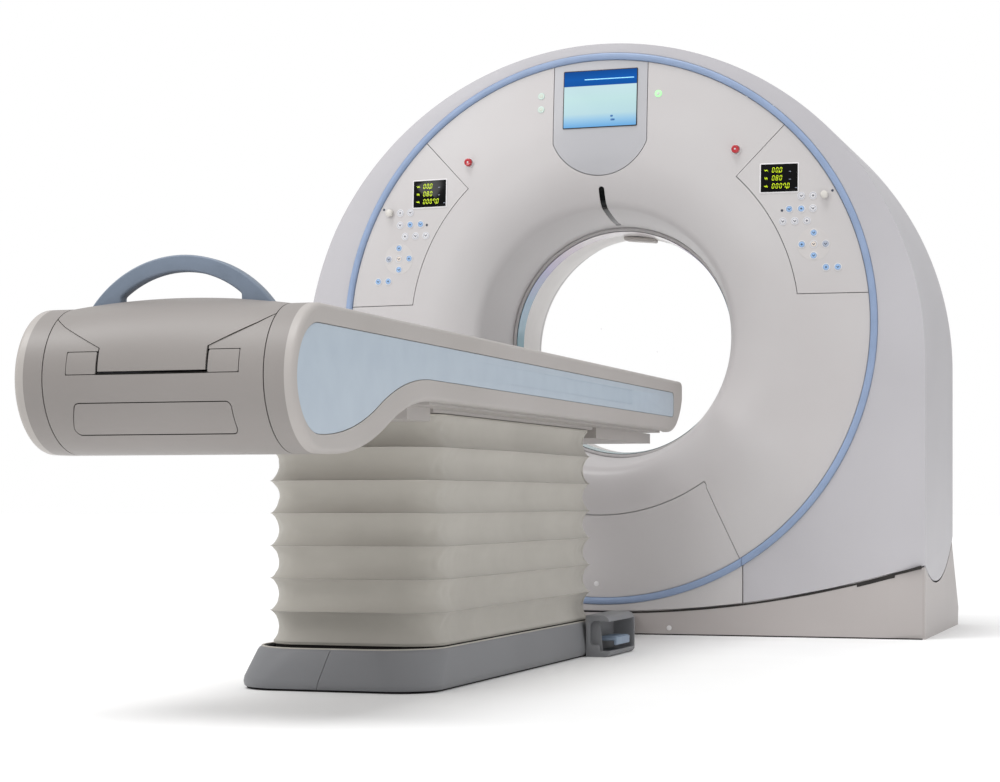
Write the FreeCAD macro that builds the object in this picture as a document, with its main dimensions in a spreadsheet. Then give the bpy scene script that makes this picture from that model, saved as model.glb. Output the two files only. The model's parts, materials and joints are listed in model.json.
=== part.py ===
"""A CT scanner: a ring gantry that tilts on its floor base, and the patient couch in front of it.

Frame: millimetres, +X to the right seen from the couch, +Y from the couch through the bore, +Z up.
The origin is on the floor straight below the scan centre, where the rotor and tilt axes cross.
"""
import FreeCAD
import Part
import Sketcher

import math
import os

from FreeCAD import Placement, Rotation, Vector

doc = FreeCAD.newDocument("ct_scanner")

# ---------------------------------------------------------------------------------------------
# Driving dimensions
# ---------------------------------------------------------------------------------------------

SIZES = [
    # gantry, outside
    ("tilt_height", 1022, "tilt and rotor axes above the floor"),
    ("ring_height", 1050, "centre of the blue ring above the floor"),
    ("ring_outer", 950, "outer radius of the blue ring"),
    ("ring_inner", 924, "inner radius of the blue ring"),
    ("ring_proud", 9, "height of the ring's bead over the band"),
    ("shell_half", 1103, "half the width of the gantry"),
    ("shell_arc_height", 928, "centre of the shroud's top arc above the floor"),
    ("front_face", -330, "plane of the band round the ring"),
    ("rear_face", 473, "plane of the rear cover"),
    ("cover_wall", 5, "thickness of the moulded covers"),
    ("seam", 2, "gap between neighbouring covers"),
    ("bevel_start", 985, "where the front turns back towards the side"),
    ("bevel_depth", 14, "how far it turns back at the side"),
    ("swing_middle", 998, "radius of the tilting body's underside about the tilt axis"),
    ("swing_curve", 3882, "radius of that underside's curve along the tilt axis"),
    ("swing_gap", 6, "gap between the tilting body and the base"),
    # front cover and bore
    ("dome_face", -350, "plane of the front cover round the flare"),
    ("dome_radius", 700, "where the front cover's cone meets that plane"),
    ("lower_seam_radius", 640, "seam over the lower front cover, about the ring's centre"),
    ("flare_start", 628, "radius where the flare leaves the plane"),
    ("flare_bend", 300, "radius of the flare's outer bend"),
    ("lip_bend", 70, "radius of the flare's lip"),
    ("throat_bend", 802.4, "radius of the throat's slow bend"),
    ("lip_radius", 398, "inner radius of the flange at the end of the throat"),
    ("bore_radius", 390, "radius of the bore behind the window"),
    ("window_radius", 394, "inner radius of the scan window"),
    ("window_front", -33, "front edge of the scan window"),
    ("window_rear", 27, "rear edge of the scan window"),
    ("liner_straight", 120, "where the liner begins to widen"),
    ("liner_end", 328, "rear edge of the bore liner"),
    ("liner_end_radius", 422, "radius of the liner's rear edge"),
    ("rear_flare_radius", 540, "radius of the rear flare at the rear face"),
    # fittings on the front
    ("screen_width", 258, "width of the screen"),
    ("screen_tall", 196, "height of the screen"),
    ("screen_height", 1841, "middle of the screen above the floor"),
    ("bezel_half", 168, "half the width of the U-shaped screen panel"),
    ("bezel_shoulder", 1690, "where the panel's sides end"),
    ("bezel_bottom", 1576, "lowest point of the panel"),
    ("panel_inner", 690, "inner radius of the operation panels"),
    ("panel_low", 1148, "lower edge of the operation panels"),
    ("panel_angle", 46.5, "upper edge of the operation panels, from level"),
    ("display_width", 126, "width of a digit display"),
    ("display_tall", 96, "height of a digit display"),
    ("display_x", 622, "middle of a digit display from the centre line"),
    ("display_z", 1540, "middle of a digit display above the floor"),
    ("key_radius", 11.5, "radius of a key"),
    ("key_proud", 2, "height of a key"),
    ("stop_x", 475, "stop button from the centre line"),
    ("stop_z", 1642, "stop button above the floor"),
    ("stop_radius", 13.5, "radius of a stop button"),
    ("knob_x", 774, "push knob from the centre line"),
    ("knob_z", 1478, "push knob above the floor"),
    ("knob_radius", 13, "radius of a push knob"),
    ("slot_low", 415, "inner end of the laser slot, from the rotor axis"),
    ("slot_high", 519, "outer end of the laser slot, from the rotor axis"),
    ("slot_width", 17, "width of the laser slot"),
    # gantry, inside
    ("frame_outer", 900, "outer radius of the tilting frame's ring"),
    ("frame_inner", 640, "inner radius of the tilting frame's ring"),
    ("frame_front", 200, "front of the tilting frame's ring"),
    ("frame_thick", 40, "thickness of the tilting frame's ring"),
    ("trunnion_radius", 55, "radius of a tilt trunnion"),
    ("trunnion_clear", 0.08, "clearance round a trunnion"),
    ("stand_near", 1000, "inner face of a tilt stand"),
    ("stand_thick", 60, "thickness of a tilt stand"),
    ("bearing_bore", 600, "radius of the rotor's hub in the main bearing"),
    ("bearing_clear", 0.6, "clearance between hub and bearing"),
    ("bearing_outer", 662, "outer radius of the main bearing"),
    ("bearing_width", 60, "width of the main bearing"),
    ("rotor_outer", 800, "outer radius of the rotor's plate"),
    ("rotor_inner", 420, "inner radius of the rotor's plate"),
    ("rotor_front", 90, "front of the rotor's plate"),
    ("rotor_thick", 30, "thickness of the rotor's plate"),
    ("slip_inner", 700, "inner radius of the slip ring"),
    ("slip_outer", 776, "outer radius of the slip ring"),
    ("slip_thick", 14, "thickness of the slip ring"),
    ("tube_radius", 92, "radius of the tube housing"),
    ("tube_long", 230, "length of the tube housing"),
    ("tube_orbit", 640, "tube housing from the rotor axis"),
    ("detector_inner", 520, "inner radius of the detector"),
    ("detector_deep", 120, "depth of the detector"),
    ("detector_wide", 130, "width of the detector along the axis"),
    # gantry base
    ("foot_thick", 30, "thickness of the base frame's feet"),
    ("foot_middle", 1040, "anchor holes from the centre line"),
    ("anchor_front", -250, "front anchor holes"),
    ("anchor_rear", 250, "rear anchor holes"),
    ("anchor_radius", 11, "radius of an anchor hole in the base frame"),
    ("link_half", 122, "half the width of the cover between couch and gantry"),
    ("link_tall", 75, "height of that cover"),
    ("link_start", -1128, "couch end of that cover"),
    ("link_end", -338, "gantry end of that cover"),
    # couch
    ("couch_half", 312, "half the width of the couch"),
    ("side_thick", 24, "thickness of a side cover"),
    ("table_top", 857, "top of the side covers above the floor"),
    ("beam_under", 686, "underside of the couch beam above the floor"),
    ("beam_head", -432, "head end of the couch"),
    ("drum_y", -3556, "centre of the foot drum"),
    ("drum_z", 705, "centre of the foot drum above the floor"),
    ("drum_radius", 152, "radius of the foot drum"),
    ("drum_half", 243, "half the length of the drum between its end caps"),
    ("plinth_tall", 101, "height of the plinth"),
    ("plinth_half", 256, "half the width of the plinth at the floor"),
    ("plinth_foot", -2790, "foot end of the plinth at the floor"),
    ("plinth_bend", 105, "corner radius of the plinth's foot end at the floor"),
    ("plinth_top_half", 243, "half the width of the plinth at its top"),
    ("plinth_top_foot", -2765, "foot end of the plinth at its top"),
    ("plinth_top_bend", 165, "corner radius of the plinth's foot end at its top"),
    ("plinth_gantry", -1140, "gantry end of the plinth"),
    ("bellows_half", 235, "half the width of the bellows over the ridges"),
    ("bellows_foot", -2675, "foot side of the bellows over the ridges"),
    ("bellows_gantry", -1217, "gantry side of the bellows over the ridges"),
    ("bellows_corner", 100, "corner radius of the bellows over the ridges"),
    ("bellows_low", 105, "lower hem of the bellows"),
    ("bellows_high", 669, "upper hem of the bellows"),
    ("bellows_deep", 22, "depth of the pleats"),
    ("bellows_bays", 7, "number of bays between hems and ridges"),
    ("plate_thick", 12, "thickness of the couch's base plate"),
    ("plate_half", 225, "half the width of the couch's base plate"),
    ("plate_foot", -2620, "foot end of the couch's base plate"),
    ("plate_long", 1450, "length of the couch's base plate"),
    ("couch_anchor_x", 195, "couch anchor holes from the centre line"),
    ("couch_anchor_foot", -2580, "foot-end anchor holes"),
    ("couch_anchor_gantry", -1230, "gantry-end anchor holes"),
    ("couch_anchor_radius", 9, "radius of a couch anchor hole"),
    ("arm_long", 1060, "length of a scissor arm between its ends"),
    ("arm_pivot_y", -2520, "fixed scissor pivots along the couch"),
    ("arm_pivot_low", 62, "lower fixed pivot above the floor"),
    ("arm_pivot_high", 612, "upper fixed pivot above the floor, couch raised"),
    ("cradle_half", 215, "half the width of the tabletop cradle"),
    ("cradle_foot", -3482, "foot end of the cradle"),
    ("crown", 17, "how far the end cover's middle rises over its sides"),
    ("cradle_head", -446, "head end of the cradle"),
    ("cradle_edge", 862, "edges of the cradle above the floor"),
    ("cradle_dip", 24, "how far the cradle's middle lies below its edges"),
    ("cradle_thick", 26, "thickness of the cradle"),
    ("handle_y", -3560, "middle of the handle along the couch"),
    ("handle_half", 210, "half the width of the handle at its feet"),
    ("handle_top", 962, "top of the handle"),
    ("handle_thick", 30, "thickness of the handle along the couch"),
    ("pedal_long", 150, "length of a foot pedal"),
    ("pedal_wide", 62, "width of a foot pedal"),
    ("pedal_thick", 12, "thickness of a foot pedal"),
]

sheet = doc.addObject("Spreadsheet::Sheet", "Sizes")
for row, (alias, number, meaning) in enumerate(SIZES, start=1):
    sheet.set(f"A{row}", alias)
    sheet.set(f"B{row}", str(number))
    sheet.setAlias(f"B{row}", alias)
    sheet.set(f"C{row}", meaning)
doc.recompute()


def size(alias):
    """A driving dimension, read from the sheet."""
    return float(sheet.get(alias))


NODES = {}                    # node name -> document object, in the order in which they are made


def keep(label, obj):
    """Name an object as one of the scanner's pieces."""
    obj.Label = label
    NODES[label] = obj
    return obj


def feature(label, shape):
    """A piece whose form is worked out here from the sheet's sizes."""
    obj = doc.addObject("Part::Feature", label)
    obj.Shape = shape
    obj.Placement = shape.Placement
    return keep(label, obj)


# ---------------------------------------------------------------------------------------------
# Helpers: bound primitives
# ---------------------------------------------------------------------------------------------

ALONG_Y = Rotation(Vector(1, 0, 0), -90)          # turns a cylinder's axis from Z to +Y
ALONG_X = Rotation(Vector(0, 1, 0), 90)           # turns a cylinder's axis from Z to +X


def primitive(kind, name, at=(0, 0, 0), turn=None, **driven):
    """A Part primitive. Each keyword is a property and the expression that drives it."""
    obj = doc.addObject(kind, name)
    for prop, expression in driven.items():
        obj.setExpression(prop, expression)
    obj.Placement = Placement(Vector(0, 0, 0), turn or Rotation())
    for axis, where in zip("xyz", at):
        obj.setExpression(f"Placement.Base.{axis}", str(where))
    return obj


def cut(name, base, tool):
    obj = doc.addObject("Part::Cut", name)
    obj.Base = base
    obj.Tool = tool
    return obj


def fuse(name, *parts):
    obj = doc.addObject("Part::MultiFuse", name)
    obj.Shapes = list(parts)
    return obj


def together(name, *parts):
    """Separate solids of one kind, kept as one piece."""
    obj = doc.addObject("Part::Compound", name)
    obj.Links = list(parts)
    return obj


def mirrored(name, source):
    """The same piece on the other side of the centre line."""
    obj = doc.addObject("Part::Mirroring", name)
    obj.Source = source
    obj.Normal = Vector(1, 0, 0)
    return obj


def sketch(body, role, name):
    """A sketch on one of the body's own origin planes."""
    plane = next(f for f in body.Origin.OriginFeatures if f.Role == role)
    drawing = body.newObject("Sketcher::SketchObject", name)
    drawing.AttachmentSupport = [(plane, "")]
    drawing.MapMode = "FlatFace"
    return drawing


def outline(drawing, corners):
    """A closed polygon whose corners are pairs of aliases or numbers, each held by its distances."""
    def number(entry):
        return size(entry) if isinstance(entry, str) else entry

    points = [Vector(number(a), number(b), 0) for a, b in corners]
    count = len(points)
    for i in range(count):
        drawing.addGeometry(Part.LineSegment(points[i], points[(i + 1) % count]))
    for i in range(count):
        drawing.addConstraint(Sketcher.Constraint("Coincident", i, 2, (i + 1) % count, 1))
    for i, corner in enumerate(corners):
        for kind, entry in zip(("DistanceX", "DistanceY"), corner):
            held = drawing.addConstraint(Sketcher.Constraint(kind, -1, 1, i, 1, number(entry)))
            if isinstance(entry, str):
                drawing.setExpression(f"Constraints[{held}]", "Sizes." + entry)


# ---------------------------------------------------------------------------------------------
# Helpers: paths of lines and tangent arcs
# ---------------------------------------------------------------------------------------------

def walk(start, heading, steps, side=0.0):
    """Points and edges of a path in a plane: each step is a length, or a (radius, turn) arc.

    side moves the whole path to its left (or right, if negative), as a parallel curve does.
    """
    angle = math.radians(heading)
    x = start[0] - side * math.sin(angle)
    y = start[1] + side * math.cos(angle)
    pieces = []
    for step in steps:
        if isinstance(step, tuple):
            radius, turn = step
            sign = math.copysign(1.0, turn)
            bend = radius - sign * side
            centre = (x - sign * bend * math.sin(angle), y + sign * bend * math.cos(angle))
            ends = []
            for share in (0.5, 1.0):
                swung = angle + math.radians(turn) * share
                ends.append((centre[0] + sign * bend * math.sin(swung),
                             centre[1] - sign * bend * math.cos(swung)))
            pieces.append([(x, y), ends[0], ends[1]])
            angle += math.radians(turn)
            x, y = ends[1]
        else:
            nearer = (x + step * math.cos(angle), y + step * math.sin(angle))
            pieces.append([(x, y), nearer])
            x, y = nearer
    return pieces


def edges_of(pieces, lift):
    """Edges in space of a walked path; lift turns a pair into a Vector."""
    made = []
    for piece in pieces:
        points = [lift(*pair) for pair in piece]
        if len(points) == 3:
            made.append(Part.Arc(*points).toShape())
        else:
            made.append(Part.LineSegment(*points).toShape())
    return made


def banded(start, heading, steps, wall, near_counts, far_counts):
    """Profile points of a wall along a path, each arc cut into so many straight bands on either side."""
    sides = []
    for counts, side in ((near_counts, 0.0), (far_counts, wall)):
        fine = []
        for step, count in zip(steps, counts):
            fine += [(step[0], step[1] / count)] * count if isinstance(step, tuple) else [step]
        pieces = walk(start, heading, fine, side)
        sides.append([pieces[0][0]] + [piece[-1] for piece in pieces])
    return sides[0] + sides[1][::-1]


def polygon(points, lift):
    corners = [lift(*pair) for pair in points]
    return Part.Face(Part.makePolygon(corners + corners[:1]))


def loop(pieces, lift):
    """Face inside a closed chain of pieces, each two or three points long."""
    return Part.Face(Part.Wire(Part.__sortEdges__(edges_of(pieces, lift))))


def in_xz(x, z):
    return Vector(x, 0, z)


def in_yz(y, z):
    return Vector(0, y, z)


def prism_y(face, start, end):
    """Extrude a face drawn in XZ from start to end along Y."""
    moved = face.copy()
    moved.translate(Vector(0, start, 0))
    return moved.extrude(Vector(0, end - start, 0))


def prism_x(face, start, end):
    moved = face.copy()
    moved.translate(Vector(start, 0, 0))
    return moved.extrude(Vector(end - start, 0, 0))


def solid_of(faces):
    """Solid inside a closed set of flat faces, with the faces that lie in one plane joined."""
    body = Part.makeSolid(Part.makeShell(faces))
    if body.Volume < 0:
        body.reverse()
    return body.removeSplitter()


def stacked(outlines):
    """Solid through outlines of equally many points whose matching sides are parallel."""
    faces = [Part.Face(Part.makePolygon(ends + ends[:1])) for ends in (outlines[0], outlines[-1])]
    for low, high in zip(outlines, outlines[1:]):
        for i in range(len(low)):
            j = (i + 1) % len(low)
            faces.append(Part.Face(Part.makePolygon([low[i], low[j], high[j], high[i], low[i]])))
    return solid_of(faces)


FLATS = 48                    # flat sides of a large turned cover


def turned_flat(profile, height, sides=FLATS):
    """A closed profile of (radius, y) points turned about an axis along Y in flat sides."""
    spin = [2 * math.pi * i / sides for i in range(sides + 1)]
    faces = []
    for (r1, y1), (r2, y2) in zip(profile, profile[1:] + profile[:1]):
        for one, two in zip(spin, spin[1:]):
            corners = [Vector(r * math.sin(angle), y, height + r * math.cos(angle))
                       for r, y, angle in ((r1, y1, one), (r1, y1, two), (r2, y2, two), (r2, y2, one))]
            faces.append(Part.Face(Part.makePolygon(corners + corners[:1])))
    return solid_of(faces)


def hoop(outer, inner, start, end, height, sides=FLATS):
    """A ring about an axis along Y, in flat sides."""
    return turned_flat([(outer, start), (outer, end), (inner, end), (inner, start)], height, sides)


def drum_y(radius, start, end, height):
    return Part.makeCylinder(radius, end - start, Vector(0, start, height), Vector(0, 1, 0))


def block(low, high):
    """A box between two corners."""
    span = Vector(*high) - Vector(*low)
    return Part.makeBox(span.x, span.y, span.z, Vector(*low))


def both_sides(shape):
    """A shape and its mirror image on the other side of the centre line."""
    return Part.makeCompound([shape, shape.mirror(Vector(0, 0, 0), Vector(1, 0, 0))])


# ---------------------------------------------------------------------------------------------
# Gantry covers
# ---------------------------------------------------------------------------------------------

FRONT = size("front_face")
REAR = size("rear_face")
WALL = size("cover_wall")
SEAM = size("seam")
TILT_Z = size("tilt_height")
RING_Z = size("ring_height")
HALF = size("shell_half")
FAR = 1300.0                  # clear of everything, for cutting tools


def shell_outline(inset):
    """Gantry seen from the front: a half circle on straight sides, down to below the floor."""
    radius = HALF - inset
    middle = size("shell_arc_height")
    pieces = [[(-radius, -50.0), (-radius, middle)],
              [(-radius, middle), (0.0, middle + radius), (radius, middle)],
              [(radius, middle), (radius, -50.0)],
              [(radius, -50.0), (-radius, -50.0)]]
    return loop(pieces, in_xz)


def swing_radius(x):
    """Radius about the tilt axis of the tilting body's underside, at x."""
    curve = size("swing_curve")
    return size("swing_middle") - (curve - math.sqrt(curve ** 2 - x ** 2))


def swing_barrel(gap):
    """Everything inside the underside's surface of revolution about the tilt axis."""
    stations = [-FAR, -1100.0, -740.0, -370.0, 0.0, 370.0, 740.0, 1100.0, FAR]
    curve = [(x, swing_radius(x) + gap) for x in stations]
    face = polygon([(-FAR, 0.0)] + curve + [(FAR, 0.0)], lambda x, r: Vector(x, 0, TILT_Z + r))
    return face.revolve(Vector(0, 0, TILT_Z), Vector(1, 0, 0), 360)


BARREL = swing_barrel(0)
BELOW = block((-FAR, -FAR, -100), (FAR, FAR, TILT_Z)).cut(BARREL)
BASE_BARREL = swing_barrel(size("swing_gap"))


def bevel_tools():
    """Wedges that turn the front back towards both sides."""
    start = size("bevel_start")
    depth = size("bevel_depth")
    reach = HALF + 50
    slope = depth / (HALF - start)
    wedge = Part.Face(Part.makePolygon([
        Vector(start, FRONT, -60), Vector(reach, FRONT + slope * (reach - start), -60),
        Vector(reach, FRONT - 60, -60), Vector(start, FRONT - 60, -60), Vector(start, FRONT, -60)]))
    return both_sides(wedge.extrude(Vector(0, 0, 2300)))


BEVEL = bevel_tools()


def moved_y(shape, distance):
    copy = shape.copy()
    copy.translate(Vector(0, distance, 0))
    return copy


def gantry_shell():
    """Shroud with its front band, before the lower cover is parted from it."""
    outer = prism_y(shell_outline(0), FRONT, REAR).cut(BEVEL)
    inner = prism_y(shell_outline(WALL), FRONT - 40, REAR + 10).cut(moved_y(BEVEL, WALL))
    inner = inner.cut(block((-FAR, FRONT - 50, -100), (FAR, FRONT + WALL, 2300)))
    hole = hoop(size("ring_outer"), 10, FRONT - 50, FRONT + 100, RING_Z)
    middle = block((-20, FRONT - 50, RING_Z - 20), (20, FRONT + 50, RING_Z + 20))
    return outer.cut(inner).cut(hole).cut(middle).cut(BELOW)


FLARE = [(size("flare_bend"), -30.0), (size("lip_bend"), -43.0), (size("throat_bend"), -17.0)]


def front_skin():
    """The front cover's moulding: cone, flat face and flared throat, as one wall."""
    dome = size("dome_face")
    rim = size("ring_inner") - 0.5
    flat = size("dome_radius")
    start = size("flare_start")
    inner = start - 120

    plate = turned_flat([(rim, FRONT), (flat, dome), (inner, dome), (inner, dome + WALL),
                         (flat, dome + WALL), (rim, FRONT + WALL)], RING_Z)
    opening = turned_flat([(start, dome - 10), (start, dome + 20), (10, dome + 20), (10, dome - 10)], TILT_Z)
    plate = plate.cut(opening)
    throat = turned_flat(banded((start, dome), 180, FLARE, -WALL, (2, 3, 1), (1, 1, 1)), TILT_Z)
    wide, end = walk((start, dome), 180, FLARE)[-1][-1]
    flange = hoop(wide + WALL, size("lip_radius"), end - 3, end, TILT_Z)
    return plate.fuse([throat, flange]).removeSplitter()


def bezel_prism(gap):
    """Outline of the U-shaped screen panel."""
    half = size("bezel_half") - gap
    shoulder = size("bezel_shoulder")
    bottom = size("bezel_bottom") + gap
    top = RING_Z + size("ring_inner") + 20
    pieces = [[(-half, top), (-half, shoulder)],
              [(-half, shoulder), (0.0, bottom), (half, shoulder)],
              [(half, shoulder), (half, top)],
              [(half, top), (-half, top)]]
    return prism_y(loop(pieces, in_xz), FRONT - 60, FRONT + 60)


def panel_prism(gap):
    """Outline of the right operation panel: part of a ring, level below."""
    inner = size("panel_inner") + gap
    outer = size("ring_inner") + 30
    low = size("panel_low") + gap - RING_Z
    high = math.radians(size("panel_angle")) - gap / outer

    def at(radius, angle):
        return (radius * math.cos(angle), RING_Z + radius * math.sin(angle))

    low_in = math.asin(low / inner)
    low_out = math.asin(low / outer)
    pieces = [[at(inner, low_in), at(inner, (low_in + high) / 2), at(inner, high)],
              [at(inner, high), at(outer, high)],
              [at(outer, high), at(outer, (low_out + high) / 2), at(outer, low_out)],
              [at(outer, low_out), at(inner, low_in)]]
    return prism_y(loop(pieces, in_xz), FRONT - 60, FRONT + 60)


def lower_prism(gap):
    """Outline of the lower front cover."""
    arc = size("lower_seam_radius") + gap
    tip_angle = math.radians(-55.2) - gap / arc
    tip = (arc * math.cos(tip_angle), RING_Z + arc * math.sin(tip_angle))
    knee = (486.0 - gap, 262.0)
    hem = (496.0 - gap, 236.0)
    pieces = [[(-tip[0], tip[1]), (0.0, RING_Z - arc), tip],
              [tip, knee], [knee, hem], [hem, (hem[0], -40.0)],
              [(hem[0], -40.0), (-hem[0], -40.0)], [(-hem[0], -40.0), (-hem[0], hem[1])],
              [(-hem[0], hem[1]), (-knee[0], knee[1])], [(-knee[0], knee[1]), (-tip[0], tip[1])]]
    return prism_y(loop(pieces, in_xz), FRONT - 60, FRONT + 60)


def cone_height(x, z):
    """Y of the front cover's outer surface on its cone or flat face."""
    radius = math.hypot(x, z - RING_Z)
    share = (radius - size("dome_radius")) / (size("ring_inner") - size("dome_radius"))
    return size("dome_face") + max(0.0, share) * (FRONT - size("dome_face"))


def cone_turn(x, z):
    """Rotation that lays a plate, drawn in XZ and facing -Y, on the front cover's cone."""
    slope = math.degrees(math.atan2(FRONT - size("dome_face"),
                                    size("ring_inner") - size("dome_radius")))
    around = Vector(-(z - RING_Z), 0, x)
    return Rotation(around, slope)


def laid(shape, x, z, proud=0.0):
    """Move a shape drawn round the origin onto the front cover at (x, z)."""
    copy = shape.copy()
    copy.Placement = Placement(Vector(x, cone_height(x, z) - proud, z), cone_turn(x, z))
    return copy


def plate_at(width, tall, thick, x, z, proud):
    """A flat rectangular plate laid on the front cover."""
    return laid(block((-width / 2, 0, -tall / 2), (width / 2, thick, tall / 2)), x, z, proud)


def disc_at(radius, proud, x, z, sides=8):
    """A round key or lamp standing on the front cover, in flat sides."""
    corners = [(radius * math.cos(math.radians(360 * i / sides)),
                radius * math.sin(math.radians(360 * i / sides))) for i in range(sides)]
    return laid(prism_y(polygon(corners, in_xz), -proud, 0), x, z)


SKIN = front_skin()
SHELL = gantry_shell()
BEZEL_OPEN = bezel_prism(0)
PANEL_OPEN = both_sides(panel_prism(0))
LOWER_OPEN = lower_prism(0)

SCREEN = plate_at(size("screen_width"), size("screen_tall"), 12, 0, size("screen_height"), 2)
DISPLAYS = Part.makeCompound([plate_at(size("display_width"), size("display_tall"), 10,
                                       side * size("display_x"), size("display_z"), 2)
                              for side in (1, -1)])


def slot_block(gap):
    half = size("slot_width") / 2 - gap
    return block((-half, FRONT - 60, TILT_Z + size("slot_low") - 30),
                 (half, FRONT + 260, TILT_Z + size("slot_high") - gap))


def post_y(x, z, radius, sides, start, end):
    """A many-sided post along Y."""
    corners = [(x + radius * math.cos(2 * math.pi * i / sides), z + radius * math.sin(2 * math.pi * i / sides))
               for i in range(sides)]
    return prism_y(polygon(corners, in_xz), start, end)


STOP_Y = cone_height(size("stop_x"), size("stop_z"))
KNOB_Y = cone_height(size("knob_x"), size("knob_z"))


def front_cover():
    cover = SKIN.cut(BEZEL_OPEN).cut(PANEL_OPEN).cut(LOWER_OPEN).cut(slot_block(0))
    for side in (1, -1):
        at = (side * size("stop_x"), size("stop_z"))
        collar = post_y(*at, 20, 20, STOP_Y - 3, STOP_Y + 4)
        cover = cover.fuse(collar).cut(post_y(*at, 8, 10, STOP_Y - 20, STOP_Y + 20))
    return cover


def shroud():
    half = 496.0 + SEAM / 2
    parted = block((-half, FRONT - 50, -100), (half, FRONT + 60, 300))
    return SHELL.cut(parted)


def lower_front_cover():
    inside = SKIN.common(lower_prism(SEAM))
    band = SHELL.common(lower_prism(SEAM))
    band = band.common(block((-FAR, FRONT - 50, -100), (FAR, FRONT + WALL + 0.1, 300)))
    back = size("ring_outer") + 6
    web = hoop(back, size("ring_inner") - 12, FRONT + WALL, FRONT + 2 * WALL, RING_Z)
    hidden = block((-485, FRONT - 50, -100), (485, FRONT + 60, 262))
    web = web.common(hidden).cut(BELOW)
    return inside.fuse(band).fuse(web)


def trim_ring():
    """The blue bead, in an upper and a lower length that part at the lower cover's seam."""
    inner = size("ring_inner")
    outer = size("ring_outer") - 0.5
    proud = size("ring_proud")

    bead = turned_flat([(inner, FRONT + WALL), (inner + 6, FRONT - proud),
                        (outer - 6, FRONT - proud), (outer, FRONT + WALL)], RING_Z)
    lower = block((-491, FRONT - 50, 0), (491, FRONT + 60, 300))
    parting = block((-492, FRONT - 50, 0), (492, FRONT + 60, 300))
    return Part.makeCompound([bead.cut(parting), bead.common(lower)])


def rear_cover():
    """Rear plate and its flare into the bore."""
    wide = size("rear_flare_radius")
    drop = wide - size("liner_end_radius")
    depth = REAR - size("liner_end")
    bend = (drop ** 2 + depth ** 2) / (2 * drop)
    turn = math.degrees(math.asin(depth / bend)) if depth < bend else 90.0
    plate = prism_y(shell_outline(WALL + SEAM), REAR - WALL, REAR)
    opening = turned_flat([(wide, REAR - 50), (wide, REAR + 50), (10, REAR + 50), (10, REAR - 50)], TILT_Z)
    opening = opening.fuse(block((-20, REAR - 40, TILT_Z - 20), (20, REAR + 40, TILT_Z + 20)))
    plate = plate.cut(opening).cut(BELOW)
    flare = turned_flat(banded((size("liner_end_radius") + 0.5, size("liner_end")), 90,
                               [(bend, -turn)], -WALL, (3,), (2,)), TILT_Z)
    flare = flare.cut(block((-FAR, REAR, 0), (FAR, REAR + 100, 2300)))
    return plate.fuse(flare).removeSplitter()


def bore_liner():
    drop = size("liner_end_radius") - size("bore_radius")
    depth = size("liner_end") - size("liner_straight")
    bend = (drop ** 2 + depth ** 2) / (2 * drop)
    turn = math.degrees(math.asin(depth / bend))
    straight = size("liner_straight") - size("window_rear")
    return turned_flat(banded((size("bore_radius"), size("window_rear")), 90,
                              [straight, (bend, -turn)], -4.0, (1, 2), (1, 1)), TILT_Z)


def scan_window():
    inner = size("window_radius")
    front = size("window_front")
    rear = size("window_rear")
    return hoop(inner + 3, inner, front, rear, TILT_Z)


def keypads():
    """Keys of the right panel, from the top; the left panel has them mirrored."""
    pitch = 39.5
    rows = [(1477, [735, 696]), (1434, [735, 696, 656]), (1393, [715, 675, 635]),
            (1352, [738]), (1314, [738 + pitch, 738, 738 - pitch]), (1276, [738]), (1236, [818, 779])]
    keys = [disc_at(size("key_radius"), size("key_proud"), side * x, z)
            for side in (1, -1) for z, columns in rows for x in columns]
    return Part.makeCompound(keys)


feature("front_cover", front_cover())
feature("lower_front_cover", lower_front_cover())
feature("trim_ring", trim_ring())
feature("shroud", shroud())
feature("rear_cover", rear_cover())
feature("bore_liner", bore_liner())
feature("scan_window", scan_window())
feature("screen_panel", SKIN.common(bezel_prism(SEAM)).cut(SCREEN))
feature("screen", SCREEN)
PANELS = SKIN.common(both_sides(panel_prism(SEAM))).cut(DISPLAYS)
PANELS = PANELS.cut([post_y(side * size("knob_x"), size("knob_z"), 6, 8, KNOB_Y - 20, KNOB_Y + 30)
                     for side in (1, -1)])
feature("operation_panels", PANELS)
feature("digit_displays", DISPLAYS)
feature("keypads", keypads())
feature("laser_window", SKIN.common(slot_block(0.5)))
feature("status_lamps", Part.makeCompound([disc_at(12, 2.5, x, z)
                                           for x, z in ((205, 1847), (-212, 1861), (-212, 1814))]))


def light_pod():
    """Slim housing of the positioning light, under the bore liner and a little beside its top."""
    top = size("bore_radius") - 2
    case = block((-58, 44, top - 20), (58, 112, top))
    rim = [e for e in case.Edges if abs(e.CenterOfMass.z - top + 20) < 0.1]
    case = case.makeChamfer(12, rim)
    case.rotate(Vector(0, 0, 0), Vector(0, 1, 0), 5.6)
    case.translate(Vector(0, 0, TILT_Z))
    return case.cut(NODES["bore_liner"].Shape)


feature("light_pod", light_pod())


# ---------------------------------------------------------------------------------------------
# Gantry controls that move
# ---------------------------------------------------------------------------------------------

def mushroom(label, place_x, place_z, head_start, head_radius, head_long, stem_radius, stem_end):
    """A knob on a stem, facing -Y: two many-sided prisms."""
    head = primitive("Part::Prism", label + "_head", (place_x, head_start, place_z), ALONG_Y,
                     Circumradius=head_radius, Height=str(head_long))
    head.Polygon = 20
    stem = primitive("Part::Prism", label + "_stem",
                     (place_x, head_start + head_long - 1, place_z), ALONG_Y,
                     Circumradius=str(stem_radius), Height=str(stem_end - head_long + 1))
    stem.Polygon = 10
    return keep(label, fuse(label, head, stem))


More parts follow.
